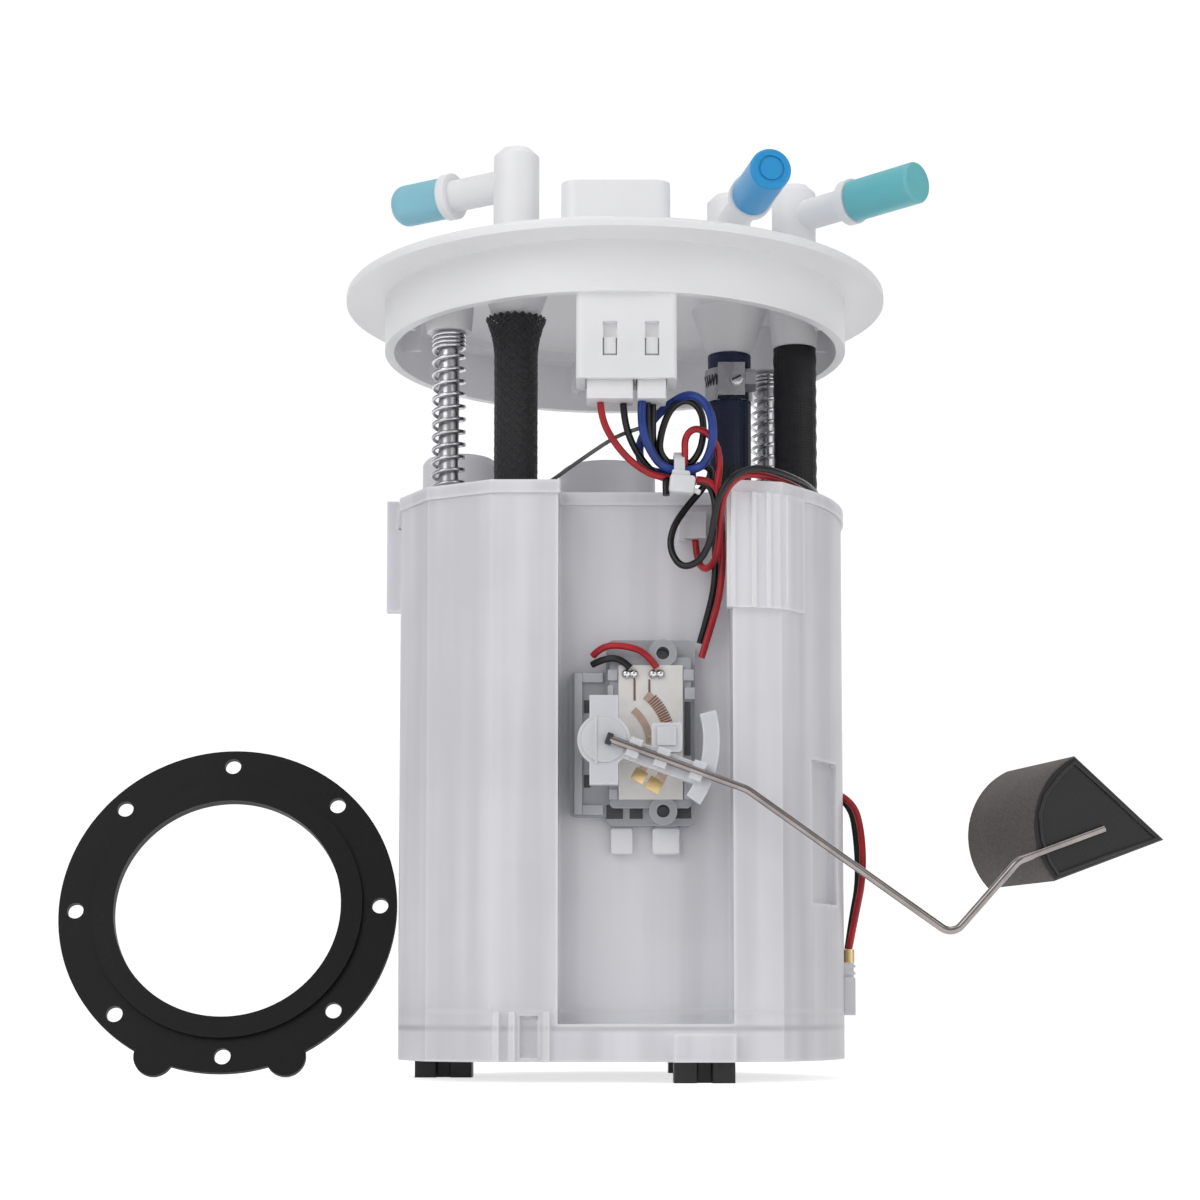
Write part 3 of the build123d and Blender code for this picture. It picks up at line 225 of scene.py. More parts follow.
def bucket_nylon(name, colour):
    """The bucket's thin wall: clouded, with upright flow marks, a painted highlight on its corners and a
    dark seam at the pan.
    """
    radii = (0.9, 0.85, 1.0)
    finish = Finish(name, Subsurface_Weight=0.25, Subsurface_Scale=0.006, Subsurface_Radius=radii, IOR=1.5)
    where = finish.place()
    height = finish.along(where, "Z")
    streak = finish.noise(finish.stretched(where, (70.0, 70.0, 3.0)), 1.0, 3.0)
    cloud = finish.noise(where, 14.0, 4.0)
    depth = (cloud * 0.35 + streak * 0.65).step(0.38, 0.62) * 0.85
    deep = finish.mixed(depth, shade(colour, 1.04), shade(colour, 0.80))
    off_seam = (height - PAN_SEAM).absolute().step(0.0, 0.0012)
    deep = finish.mixed(off_seam, shade(colour, 0.72), deep)
    # The corners are mixed towards near-white: a painted highlight.
    finish.feed("Base Color", finish.mixed(finish.edges(0.0018) * 0.8, deep, (0.95, 0.95, 0.98, 1.0)))
    finish.feed("Roughness", 0.36 + (cloud - 0.5) * 0.25)
    grain = finish.noise(where, 700.0, 2.0)
    finish.relief(grain * 0.4 + streak, 0.1, 0.0005)
    return finish.material


def clear_cap(name, colour, clearness):
    """Dyed soft plastic, a little cloudy, that lets some light through."""
    finish = Finish(name, Subsurface_Weight=0.35, Subsurface_Scale=0.003, IOR=1.48,
                    Transmission_Weight=clearness)
    where = finish.place()
    cloud = finish.noise(where, 160.0, 3.0)
    fine = finish.noise(where, 900.0, 2.0)
    finish.feed("Base Color", finish.mixed(cloud * 0.5, colour, shade(colour, 1.15)))
    finish.feed("Roughness", 0.28 + cloud * 0.12)
    finish.relief(fine, 0.05, 0.0003)
    return finish.material


def moulded(name, colour, roughness=0.5, grain_scale=800.0, grain=0.15, edge_highlight=0.25, shine=0.5):
    """Opaque moulded plastic or rubber with a fine grain, uneven gloss and a painted highlight on its
    edges.
    """
    finish = Finish(name, IOR=1.48, Specular_IOR_Level=shine)
    where = finish.place()
    patch = finish.noise(where, 45.0, 4.0)
    fine = finish.noise(where, grain_scale, 3.0)
    tint = finish.mixed(patch.step(0.3, 0.75), shade(colour, 0.86), shade(colour, 1.12))
    # A paler copy of the colour, mixed in on the edges as a painted highlight.
    pale = tuple(min(1.0, channel * 1.8 + 0.03) for channel in colour[:3]) + (1.0,)
    finish.feed("Base Color", finish.mixed(finish.edges(0.0005) * edge_highlight, tint, pale))
    finish.feed("Roughness", roughness + (patch - 0.5) * 0.25)
    finish.relief(fine + patch * 0.6, grain, 0.0003)
    return finish.material


# Scale of a metal's marks along X, Y and Z where they run round it, as on a turned rod
TURNED = (40.0, 40.0, 900.0)


def metal(name, colour, roughness, marks, mark_scale=TURNED):
    """Metal with ground marks, scaled along X, Y and Z, and handling stains."""
    finish = Finish(name, Metallic=1.0)
    where = finish.place()
    lines = finish.noise(finish.stretched(where, mark_scale), 1.0, 4.0)
    stain = finish.noise(where, 120.0, 4.0)
    tint = finish.mixed(stain.step(0.35, 0.75) * 0.7, colour, shade(colour, 0.62))
    # The edges are mixed towards a lighter copy of the colour: a painted highlight.
    finish.feed("Base Color", finish.mixed(finish.edges(0.0003) * 0.4, tint, shade(colour, 1.3)))
    finish.feed("Roughness", roughness + (lines - 0.5) * 0.2 + (stain - 0.5) * 0.15)
    finish.relief(lines, marks, 0.0002)
    return finish.material


def insulation(name, colour):
    """Wire insulation with a fine grain, uneven colour and a faint gloss."""
    finish = Finish(name, IOR=1.5, Coat_Weight=0.12, Coat_Roughness=0.2, Specular_IOR_Level=0.32)
    where = finish.place()
    patch = finish.noise(where, 160.0, 3.0)
    grain = finish.noise(where, 1400.0, 2.0)
    finish.feed("Base Color", finish.mixed(patch.step(0.35, 0.75), shade(colour, 0.8), shade(colour, 1.25)))
    finish.feed("Roughness", 0.3 + (patch - 0.5) * 0.2)
    finish.relief(grain + patch, 0.15, 0.0002)
    return finish.material


def braid_fibre(name, colour):
    """Flat bundles of fibre, streaked along their length by the piece's own UV map."""
    finish = Finish(name, IOR=1.5, Sheen_Weight=0.15, Sheen_Roughness=0.4)
    where = finish.surface()
    fibres = finish.noise(finish.stretched(where, (3.0, 60.0, 1.0)), 4.0, 2.0)
    finish.feed("Base Color", finish.mixed(fibres.step(0.3, 0.75), shade(colour, 0.5), shade(colour, 1.9)))
    finish.feed("Roughness", 0.38 + fibres * 0.25)
    finish.relief(fibres, 0.5, 0.0003)
    return finish.material


def foam(name, face, side):
    """Closed-cell foam whose skinned front is blacker than its sawn sides."""
    finish = Finish(name, IOR=1.45)
    where = finish.place()
    cells = finish.noise(where, 1600.0, 2.0)
    patch = finish.noise(where, 60.0, 3.0)
    front = finish.along(finish.node("ShaderNodeNewGeometry", output="Normal"), "Y") < -0.8
    sawn = finish.mixed(cells.step(0.3, 0.7), shade(side, 0.7), shade(side, 1.2))
    finish.feed("Base Color", finish.mixed(front, sawn, finish.mixed(patch, face, shade(face, 2.0))))
    finish.feed("Roughness", 0.62 - front * 0.14 + (patch - 0.5) * 0.2)
    finish.relief(cells, 0.35, 0.0003)
    return finish.material


def cloth_hose(name, colour, ring_pitch=0.0, black_below=None):
    """Hose skin with a fine diagonal weave pressed in it, rings where it has them, and a blacker foot."""
    finish = Finish(name, IOR=1.5, Specular_IOR_Level=0.3)
    where = finish.place()
    patch = finish.noise(where, 80.0, 3.0)
    high = finish.along(where, "Z")
    side = finish.along(where, "X")
    weave = ((high + side) * 4200.0).sine() * ((high - side) * 4200.0).sine()
    skin = finish.mixed(patch.step(0.3, 0.75), shade(colour, 0.7), shade(colour, 1.5))
    if black_below is not None:
        upper = high.step(black_below - 0.002, black_below + 0.002)
        skin = finish.mixed(upper, (0.010, 0.010, 0.012, 1.0), skin)
    finish.feed("Base Color", skin)
    finish.feed("Roughness", 0.48 + (patch - 0.5) * 0.3)
    height = weave * 0.35 + patch * 0.5
    if ring_pitch:
        height = height + (high * (2.0 * math.pi / ring_pitch)).sine() * 0.12
    finish.relief(height, 0.35, 0.0004)
    return finish.material


def tube(name, kind, points, radius, roundness):
    """A round tube along points in metres, as a curve piece."""
    curve = bpy.data.curves.new(name, "CURVE")
    curve.dimensions = "3D"
    curve.bevel_depth = radius
    curve.bevel_resolution = roundness
    curve.resolution_u = 10
    curve.use_fill_caps = True
    spline = curve.splines.new(kind)
    spline.points.add(len(points) - 1)
    for slot, point in zip(spline.points, points):
        slot.co = (*point, 1.0)
    piece = bpy.data.objects.new(name, curve)
    bpy.context.collection.objects.link(piece)
    return piece


def strand(name, points, radius):
    """A smooth wire along a route whose points are in millimetres."""
    wire = tube(name, "NURBS", [tuple(value / 1000 for value in point) for point in points], radius, 4)
    spline = wire.data.splines[0]
    spline.order_u = 3
    spline.use_endpoint_u = True
    return wire


def centreline(wire):
    """The points of a wire's own smooth line, and their length."""
    depth = wire.data.bevel_depth
    wire.data.bevel_depth = 0.0
    bpy.context.view_layer.update()
    graph = bpy.context.evaluated_depsgraph_get()
    line = bpy.data.meshes.new_from_object(wire.evaluated_get(graph))
    path = [tuple(vertex.co) for vertex in line.vertices]
    bpy.data.meshes.remove(line)
    wire.data.bevel_depth = depth
    bpy.context.view_layer.update()
    length = sum((Vector(b) - Vector(a)).length for a, b in zip(path, path[1:]))
    return path, length


def only(piece):
    """Selects one piece and nothing else."""
    bpy.ops.object.select_all(action="DESELECT")
    piece.select_set(True)
    bpy.context.view_layer.objects.active = piece


def to_mesh(piece):
    """Turns a curve piece into a mesh piece."""
    only(piece)
    bpy.ops.object.convert(target="MESH")
    return bpy.context.active_object


def paint(piece, material):
    piece.data.materials.clear()
    piece.data.materials.append(material)


def settled(piece, name, place, turn, bevel):
    """Rounds a new primitive's edges and fixes it where it belongs."""
    bpy.ops.object.transform_apply(location=False, rotation=False, scale=True)
    bpy.ops.object.mode_set(mode="EDIT")
    bpy.ops.mesh.select_all(action="SELECT")
    bpy.ops.mesh.bevel(offset=bevel, segments=2, affect="EDGES")
    bpy.ops.object.mode_set(mode="OBJECT")
    piece.name = name
    piece.rotation_euler = turn
    piece.location = (place[0] / 1000, place[1] / 1000, place[2] / 1000)
    bpy.ops.object.transform_apply(location=True, rotation=True, scale=True)
    bpy.ops.object.shade_smooth_by_angle(angle=math.radians(35))
    return piece


def block(name, size, place, slope=0.0, bevel=0.15, turn=0.0):
    """A small block, in millimetres and degrees: sloped as the front view shows it, then turned about Z."""
    bevel = min(bevel, 0.3 * min(size))
    bpy.ops.object.select_all(action="DESELECT")
    bpy.ops.mesh.primitive_cube_add(size=1.0)
    piece = bpy.context.active_object
    piece.scale = (size[0] / 1000, size[1] / 1000, size[2] / 1000)
    return settled(piece, name, place, (0, -math.radians(slope), math.radians(turn)), bevel / 1000)


def copied(piece, turn, axis, centre):
    """A copy with a mesh of its own, turned about a centre, in millimetres and degrees."""
    only(piece)
    bpy.ops.object.duplicate(linked=False)
    copy = bpy.context.active_object
    hub = Vector(centre) / 1000
    turned = Matrix.Rotation(math.radians(turn), 4, axis)
    copy.matrix_world = Matrix.Translation(hub) @ turned @ Matrix.Translation(-hub)
    bpy.ops.object.transform_apply(location=True, rotation=True, scale=True)
    return copy


def stub(name, radius, depth, place, bevel):
    """A small disc that faces the front, in millimetres."""
    bpy.ops.object.select_all(action="DESELECT")
    bpy.ops.mesh.primitive_cylinder_add(vertices=32, radius=radius / 1000, depth=depth / 1000)
    return settled(bpy.context.active_object, name, place, (math.radians(90), 0, 0), bevel / 1000)


def joined(name, pieces, material, body):
    """Makes one piece of several, with one finish, that moves with a body."""
    bpy.ops.object.select_all(action="DESELECT")
    for piece in pieces:
        piece.select_set(True)
    bpy.context.view_layer.objects.active = pieces[0]
    if len(pieces) > 1:
        bpy.ops.object.join()
    whole = bpy.context.active_object
    whole.name = name
    paint(whole, material)
    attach(whole, body)
    return whole


# Sides of a hose, and the waves along it
HOSE_SIDES = 48
HOSE_WAVES = 11


def hose_tube(name, place, outer, wave):
    """An upright hose: one wave extruded from a circle, stacked by an array, with its bore bridged."""
    pitch = (HOSE_TOP - HOSE_FOOT) / HOSE_WAVES
    foot = (*place, HOSE_FOOT)
    bpy.ops.object.select_all(action="DESELECT")
    bpy.ops.mesh.primitive_circle_add(vertices=HOSE_SIDES, radius=outer, location=foot)
    piece = bpy.context.active_object
    piece.name = name
    bpy.ops.object.transform_apply(location=True, rotation=False, scale=False)
    bpy.ops.object.mode_set(mode="EDIT")
    bpy.ops.mesh.select_mode(type="EDGE")
    bpy.ops.mesh.select_all(action="SELECT")
    before = outer
    for quarter in range(1, 5):
        after = outer + wave * math.sin(math.pi * quarter / 2)
        bpy.ops.mesh.extrude_region_move(TRANSFORM_OT_translate={"value": (0, 0, pitch / 4)})
        bpy.ops.transform.resize(value=(after / before, after / before, 1.0), center_override=foot)
        before = after
    bpy.ops.object.mode_set(mode="OBJECT")
    stack = piece.modifiers.new("stack", "ARRAY")
    stack.count = HOSE_WAVES
    stack.use_relative_offset = False
    stack.use_constant_offset = True
    stack.constant_offset_displace = (0, 0, pitch)
    stack.use_merge_vertices = True
    stack.merge_threshold = 0.00001
    bpy.ops.object.modifier_apply(modifier=stack.name)
    bpy.ops.object.mode_set(mode="EDIT")
    bpy.ops.mesh.select_all(action="DESELECT")
    bpy.ops.mesh.select_non_manifold()
    bpy.ops.mesh.extrude_region_move(TRANSFORM_OT_translate={"value": (0, 0, 0)})
    inwards = HOSE_BORE / outer
    bpy.ops.transform.resize(value=(inwards, inwards, 1.0), center_override=foot)
    bpy.ops.mesh.bridge_edge_loops()
    bpy.ops.mesh.select_all(action="SELECT")
    bpy.ops.mesh.normals_make_consistent(inside=False)
    bpy.ops.object.mode_set(mode="OBJECT")
    bpy.ops.object.shade_smooth_by_angle(angle=math.radians(40))
    return piece


def length_setting(label, description, default):
    return bpy.props.FloatProperty(name=label, description=description, default=default, unit="LENGTH")


def colour_setting(label, description, *default):
    return bpy.props.FloatVectorProperty(
        name=label, description=description, subtype="COLOR", size=4, default=default
    )


class FUELPUMP_PG_sizes(bpy.types.PropertyGroup):
    wire: length_setting("Wire radius", "Radius of the thin wires", 0.00085)
    blue_wire: length_setting("Blue wire radius", "Radius of the blue wire", 0.00105)
    grey_wire: length_setting("Grey wire radius", "Radius of the thin grey wire", 0.0005)
    spring_wire: length_setting("Spring wire radius", "Radius of the spring wire", 0.00048)
    spring: length_setting("Spring radius", "Radius of a coil at its wire's centre", 0.0039)
    braid_strands: bpy.props.IntProperty(
        name="Braid strands", description="Strands in each direction", default=24, min=6, max=32
    )
    braid_pitch: length_setting("Braid pitch", "Height in which a strand goes once round", 0.03)


class FUELPUMP_PG_colours(bpy.types.PropertyGroup):
    flange: colour_setting("Flange", "Nylon of the flange", 0.93, 0.93, 0.95, 1)
    bucket: colour_setting("Bucket", "Nylon of the bucket", 0.82, 0.815, 0.865, 1)
    cap_pale: colour_setting("Left cap", "Left shipping cap", 0.34, 0.72, 0.85, 1)
    cap_blue: colour_setting("Front cap", "Front shipping cap", 0.02, 0.38, 0.78, 1)
    cap_teal: colour_setting("Right cap", "Right shipping cap", 0.22, 0.70, 0.76, 1)
    red_wire: colour_setting("Red wire", "Red insulation", 0.42, 0.012, 0.02, 1)
    blue_wire: colour_setting("Blue wire", "Blue insulation", 0.012, 0.045, 0.26, 1)
    sender: colour_setting("Sender frame", "Grey of the sender's frame", 0.40, 0.41, 0.44, 1)


def sizes():
    return bpy.context.scene.fuel_pump_sizes


def colours():
    return bpy.context.scene.fuel_pump_colours


def dress(material, *names):
    """Gives CAD nodes their finish."""
    for name in names:
        node = nodes[name]
        if not node.material_slots:
            node.data.materials.append(material)
        for slot in node.material_slots:
            slot.material = material


# The stage, in metres. The camera sees the surroundings white, whatever light they give.
FLOOR_SIZE = (8.0, 6.0)
BACKDROP_HEIGHT = 4.0
PAPER_GLOW = 0.68
AIR_LIGHT = 0.42
LAMPS = (
    ("softbox_left", (-0.75, -0.9, 0.55), 0.9, 5.0),
    ("softbox_right", (0.95, -0.75, 0.25), 0.9, 2.6),
    ("softbox_top", (0.0, -0.1, 1.1), 1.0, 3.2),
)
LAMP_TARGET = Vector((0.0, 0.0, -0.09))
CAMERA_PLACE = (-0.0039, -0.620, -0.1806)
CAMERA_TILT = math.radians(94.4)
CAMERA_LENS = 72.3
CAMERA_SHIFT = 0.18


def stage_paper():
    """Matt white paper that the camera and mirror images see brighter than it lights the object."""
    ground = Finish("stage_paper", Roughness=0.9)
    paper = ground.noise(ground.place(), 300.0, 2.0)
    ground.feed("Base Color", ground.mixed(paper, (0.88, 0.88, 0.88, 1.0), (0.92, 0.92, 0.92, 1.0)))
    path = ground.tree.nodes.new("ShaderNodeLightPath")
    seen = Signal(ground.tree, path.outputs["Is Camera Ray"])
    mirrored = Signal(ground.tree, path.outputs["Is Glossy Ray"])
    through = Signal(ground.tree, path.outputs["Is Transmission Ray"])
    glow = (seen + mirrored + through) * PAPER_GLOW
    white = ground.node("ShaderNodeEmission", inputs={"Strength": glow})
    both = ground.tree.nodes.new("ShaderNodeAddShader")
    ground.tree.links.new(ground.shader.outputs[0], both.inputs[0])
    ground.tree.links.new(white.socket, both.inputs[1])
    ground.tree.links.new(both.outputs[0], ground.tree.nodes["Material Output"].inputs["Surface"])
    return ground.material


class FUELPUMP_OT_stage(bpy.types.Operator):
    """Set the floor, the backdrop, the lamps and the camera."""

    bl_idname = "fuel_pump.stage"
    bl_label = "Stage"

    def execute(self, context):
        bpy.ops.object.select_all(action="DESELECT")
        bpy.ops.mesh.primitive_plane_add(size=1.0, location=(0, 1.0, cad_box[0].z))
        floor = context.active_object
        floor.name = "floor"
        floor.data.transform(Matrix.Diagonal((*FLOOR_SIZE, 1.0, 1.0)))
        bpy.ops.object.mode_set(mode="EDIT")
        bpy.ops.mesh.select_mode(type="EDGE")
        bpy.ops.mesh.select_all(action="DESELECT")
        bpy.ops.object.mode_set(mode="OBJECT")
        for edge in floor.data.edges:
            ends = [floor.data.vertices[vertex].co.y for vertex in edge.vertices]
            edge.select = min(ends) > 0
        bpy.ops.object.mode_set(mode="EDIT")
        bpy.ops.mesh.extrude_region_move(TRANSFORM_OT_translate={"value": (0, 0, BACKDROP_HEIGHT)})
        bpy.ops.object.mode_set(mode="OBJECT")
        bpy.ops.object.transform_apply(location=True, rotation=False, scale=False)
        paint(floor, stage_paper())

        for name, place, size, power in LAMPS:
            lamp = bpy.data.lights.new(name, "AREA")
            lamp.size = size
            lamp.energy = power
            holder = bpy.data.objects.new(name, lamp)
            context.collection.objects.link(holder)
            holder.location = place
            aim = LAMP_TARGET - Vector(place)
            holder.rotation_euler = aim.to_track_quat("-Z", "Y").to_euler()

        world = bpy.data.worlds.new("studio_air")
        world.use_nodes = True
        context.scene.world = world
        air = world.node_tree.nodes["Background"]
        air.inputs["Color"].default_value = (1.0, 1.0, 1.0, 1.0)
        path = world.node_tree.nodes.new("ShaderNodeLightPath")
        seen = Signal(world.node_tree, path.outputs["Is Camera Ray"])
        connect(world.node_tree, air.inputs["Strength"], seen * (1.0 - AIR_LIGHT) + AIR_LIGHT)

        camera = bpy.data.cameras.new("photo_view")
        camera.lens = CAMERA_LENS
        camera.sensor_width = 36.0
        camera.shift_y = CAMERA_SHIFT
        eye = bpy.data.objects.new("photo_view", camera)
        context.collection.objects.link(eye)
        eye.location = CAMERA_PLACE
        eye.rotation_euler = (CAMERA_TILT, 0.0, 0.0)
        context.scene.camera = eye
        context.scene.view_settings.view_transform = "Standard"
        return {"FINISHED"}


class FUELPUMP_OT_mouldings(bpy.types.Operator):
    """Finish the nylon mouldings, the caps and the sender's plastics."""

    bl_idname = "fuel_pump.mouldings"
    bl_label = "Mouldings"

    def execute(self, context):
        tone = colours()
        dress(milky("flange_nylon", tone.flange, 0.3), "flange", "plug_main", "plug_signal")
        dress(bucket_nylon("bucket_nylon", tone.bucket), "reservoir_body", "base_pan", "lid")
        dress(milky("housing_nylon", (0.8, 0.8, 0.84, 1), 0.3), "regulator_housing", "filter_cap",
              "wire_clip", "side_block")
        inner = milky("inner_nylon", (0.74, 0.74, 0.78, 1), 0.2, roughness=0.5)
        dress(inner, "pump_top", "pump_base", "jet_pump")
        dress(milky("arm_nylon", (0.70, 0.71, 0.75, 1), 0.35, roughness=0.3, depth=0.002), "arm_holder")
        dress(clear_cap("cap_pale_vinyl", tone.cap_pale, 0.25), "cap_left")
        dress(clear_cap("cap_blue_vinyl", tone.cap_blue, 0.15), "cap_front")
        dress(clear_cap("cap_teal_vinyl", tone.cap_teal, 0.3), "cap_right")
        dress(moulded("sender_grey", tone.sender), "sender_frame")
        dress(moulded("phenolic", (0.16, 0.10, 0.05, 1), 0.4), "impeller")
        return {"FINISHED"}


# Each metal's name, colour, roughness, depth and scale of its marks, and nodes
METALS = (
    ("ground_rod", (0.58, 0.58, 0.60, 1), 0.28, 0.2, TURNED, ("guide_rod_left", "guide_rod_right")),
    ("drawn_arm", (0.33, 0.30, 0.29, 1), 0.2, 0.15, (60.0, 60.0, 60.0), ("float_rod",)),
    ("zinc_shell", (0.55, 0.56, 0.58, 1), 0.38, 0.15, TURNED, ("pump_shell", "pressure_regulator")),
    ("wound_copper", (0.52, 0.30, 0.16, 1), 0.4, 0.4, (30.0, 30.0, 1500.0), ("pump_armature",)),
    ("brass_pins", (0.72, 0.55, 0.28, 1), 0.28, 0.2, TURNED, ("socket_pins", "side_terminal")),
    ("printed_track", (0.60, 0.45, 0.38, 1), 0.42, 0.3, (1800.0, 300.0, 1800.0), ("card_tracks",)),
    ("solder_drop", (0.62, 0.62, 0.64, 1), 0.2, 0.1, TURNED, ("solder_blobs",)),
    ("spring_finger", (0.66, 0.62, 0.50, 1), 0.3, 0.2, TURNED, ("wiper_contact",)),
    ("clamp_steel", (0.58, 0.58, 0.60, 1), 0.25, 0.25, (900.0, 900.0, 60.0), ("clamp_band", "clamp_screw")),
)


class FUELPUMP_OT_metals(bpy.types.Operator):
    """Finish the rods, the arm, the pump, the contacts and the clamp."""

    bl_idname = "fuel_pump.metals"
    bl_label = "Metals"

    def execute(self, context):
        for name, colour, roughness, marks, mark_scale, dressed in METALS:
            dress(metal(name, colour, roughness, marks, mark_scale), *dressed)
        return {"FINISHED"}


# Each one's name, colour, roughness, scale and depth of its grain, strength of the painted highlight on its
# edges, shine and nodes
DARK_PARTS = (
    ("seal_rubber", (0.004, 0.004, 0.005, 1), 0.5, 600.0, 0.2, 0.05, 0.26, ("gasket",)),
    ("foot_rubber", (0.014, 0.014, 0.015, 1), 0.5, 700.0, 0.3, 0.15, 0.5,
     ("feet", "regulator_oring", "inlet_valve")),
    ("ceramic_card", (0.84, 0.82, 0.79, 1), 0.35, 1200.0, 0.1, 0.1, 0.5, ("resistor_card",)),
    ("sintered_magnet", (0.05, 0.05, 0.055, 1), 0.6, 800.0, 0.15, 0.25, 0.5, ("pump_magnets",)),
    ("filter_paper", (0.55, 0.42, 0.24, 1), 0.85, 500.0, 0.5, 0.1, 0.5, ("filter_element",)),
    ("strainer_mesh", (0.62, 0.64, 0.64, 1), 0.8, 1000.0, 0.6, 0.1, 0.5, ("strainer",)),
)


class FUELPUMP_OT_dark_parts(bpy.types.Operator):
    """Finish the rubbers, the foam, the card, the magnets and the filter."""

    bl_idname = "fuel_pump.dark_parts"
    bl_label = "Rubber, foam and card"

    def execute(self, context):
        for name, colour, roughness, grain_scale, grain, edge_highlight, shine, dressed in DARK_PARTS:
            dress(moulded(name, colour, roughness, grain_scale, grain, edge_highlight, shine), *dressed)
        dress(foam("float_foam", (0.0055, 0.0055, 0.006, 1), (0.085, 0.072, 0.066, 1)), "float")
        return {"FINISHED"}


# Routes of the wires, in millimetres
PLUG_FOOT = -37.6
TIE = (16.0, -45.0, -53.0)
TIE_RING = 2.3
TIE_LEFT = 11.6
TIE_RIGHT = 19.4


def in_tie(x, angle):
    """Where a wire passes the tie, at an angle round the bundle, in millimetres."""
    turn = math.radians(angle)
    return (x, TIE[1] + TIE_RING * math.cos(turn), TIE[2] + TIE_RING * math.sin(turn))


FLANGE_WIRES = {
    "wire_red_main": [
        (-3.8, -52.0, PLUG_FOOT), (-3.6, -52.0, -41.6), (-0.2, -51.0, -47.6), (4.6, -48.6, -52.2),
        in_tie(TIE_LEFT - 0.6, 240), in_tie(TIE_RIGHT, 240),
    ],
    "wire_black_main": [
        (1.7, -51.0, PLUG_FOOT), (1.9, -50.8, -41.4), (3.6, -48.8, -46.6), (7.0, -45.4, -51.2),
        in_tie(TIE_LEFT, 300), in_tie(TIE_RIGHT, 300),
    ],
    "wire_black_signal": [
        (8.8, -50.0, PLUG_FOOT), (8.8, -49.8, -41.6), (8.8, -47.2, -46.0), (10.0, -44.6, -49.0),
        in_tie(TIE_LEFT + 1.4, 60), in_tie(TIE_RIGHT, 60),
    ],
    "wire_blue_signal": [
        (6.2, -53.0, PLUG_FOOT), (5.8, -53.0, -42.6), (7.6, -51.6, -48.4), in_tie(TIE_LEFT, 180),
        in_tie(TIE_RIGHT + 0.4, 180), (22.4, -49.6, -50.0), (23.4, -52.2, -44.6), (22.2, -52.6, -38.6),
        (18.0, -51.0, -34.8), (12.8, -46.4, -36.4), (8.0, -44.0, -40.8), (5.2, -42.4, -46.4),
        (6.6, -41.6, -51.2), in_tie(TIE_LEFT, 0), in_tie(TIE_RIGHT, 0),
    ],
}
BETWEEN_WIRES = {
    "wire_red_sender": [
        in_tie(TIE_RIGHT + 0.1, 240), in_tie(TIE_RIGHT + 2.6, 240), (25.0, -45.4, -57.6),
        (25.4, -43.2, -62.8), (25.9, -40.4, -69.2), (26.0, -38.0, -75.4), (25.2, -36.4, -82.6),
        (23.0, -35.6, -90.0), (20.9, -35.4, -96.8),
    ],
    "wire_black_sender": [
        in_tie(TIE_RIGHT + 0.1, 300), in_tie(TIE_RIGHT + 2.8, 300), (24.2, -42.0, -59.0),
        (24.0, -39.6, -65.2), (24.4, -37.0, -72.0), (24.2, -35.2, -79.0), (22.6, -34.2, -86.0),
        (20.6, -33.2, -93.0),
    ],
    "lead_black_pump": [
        in_tie(TIE_RIGHT + 0.1, 60), in_tie(TIE_RIGHT + 2.6, 60), (23.4, -41.2, -52.2),
        (21.4, -38.6, -55.4), (17.4, -37.8, -59.8), (13.8, -38.6, -65.2), (13.0, -40.0, -71.0),
        (15.8, -41.8, -75.8), (20.0, -43.8, -74.8), (22.6, -46.2, -70.6), (23.4, -49.0, -65.8),
        (24.4, -51.6, -59.8), (28.4, -51.8, -54.6), (34.4, -48.4, -52.4), (41.0, -42.2, -52.8),
        (46.8, -33.2, -53.3), (50.2, -23.6, -53.5), (51.4, -15.0, -53.6), (51.5, -12.6, -57.8),
        (51.6, -12.4, -62.4),
    ],
}
FIXED_WIRES = {
    "lead_red_pump": [
        (19.6, -33.4, -67.4), (19.8, -34.0, -72.0), (21.6, -36.6, -75.6), (24.0, -40.6, -74.2),
        (24.9, -44.6, -69.8), (25.0, -48.0, -64.6), (25.8, -50.0, -58.8), (29.6, -48.8, -54.4),
        (34.4, -45.6, -53.6), (40.0, -39.4, -53.5), (45.0, -31.2, -53.6), (47.8, -22.4, -53.5),
        (48.7, -15.0, -53.6), (48.8, -12.6, -57.8), (48.9, -12.4, -62.4),
    ],
    "card_lead_red": [
        (-5.6, -36.0, -96.4), (-3.4, -38.2, -94.2), (2.6, -39.2, -94.4), (7.4, -39.6, -96.2),
        (9.9, -39.0, -99.8),
    ],
    "card_lead_black": [
        (-5.8, -36.0, -98.6), (-2.6, -38.0, -97.2), (1.4, -39.0, -97.6), (3.4, -39.0, -99.8),
    ],
    "side_red": [
        (56.5, -1.9, -127.0), (61.3, -1.9, -129.0), (63.5, -2.0, -137.4), (63.7, -1.9, -149.0),
        (61.7, -1.8, -158.4), (59.9, -1.9, -167.2),
    ],
    "side_black": [
        (56.5, 1.9, -127.0), (60.9, 1.9, -129.4), (62.5, 2.0, -138.4), (62.9, 1.9, -150.0),
        (61.1, 1.8, -159.0), (59.9, 1.9, -167.2),
    ],
}


# The length, in metres, that declare_cord tests a wire's length against. A wire shorter than
# this, in metres, isn't declared as a cord
SHORTEST_CORD = 0.03


def declare_cord(length, radius):
    """Tests a wire's length against SHORTEST_CORD; it declares nothing."""
    if length > SHORTEST_CORD:
        2 * radius


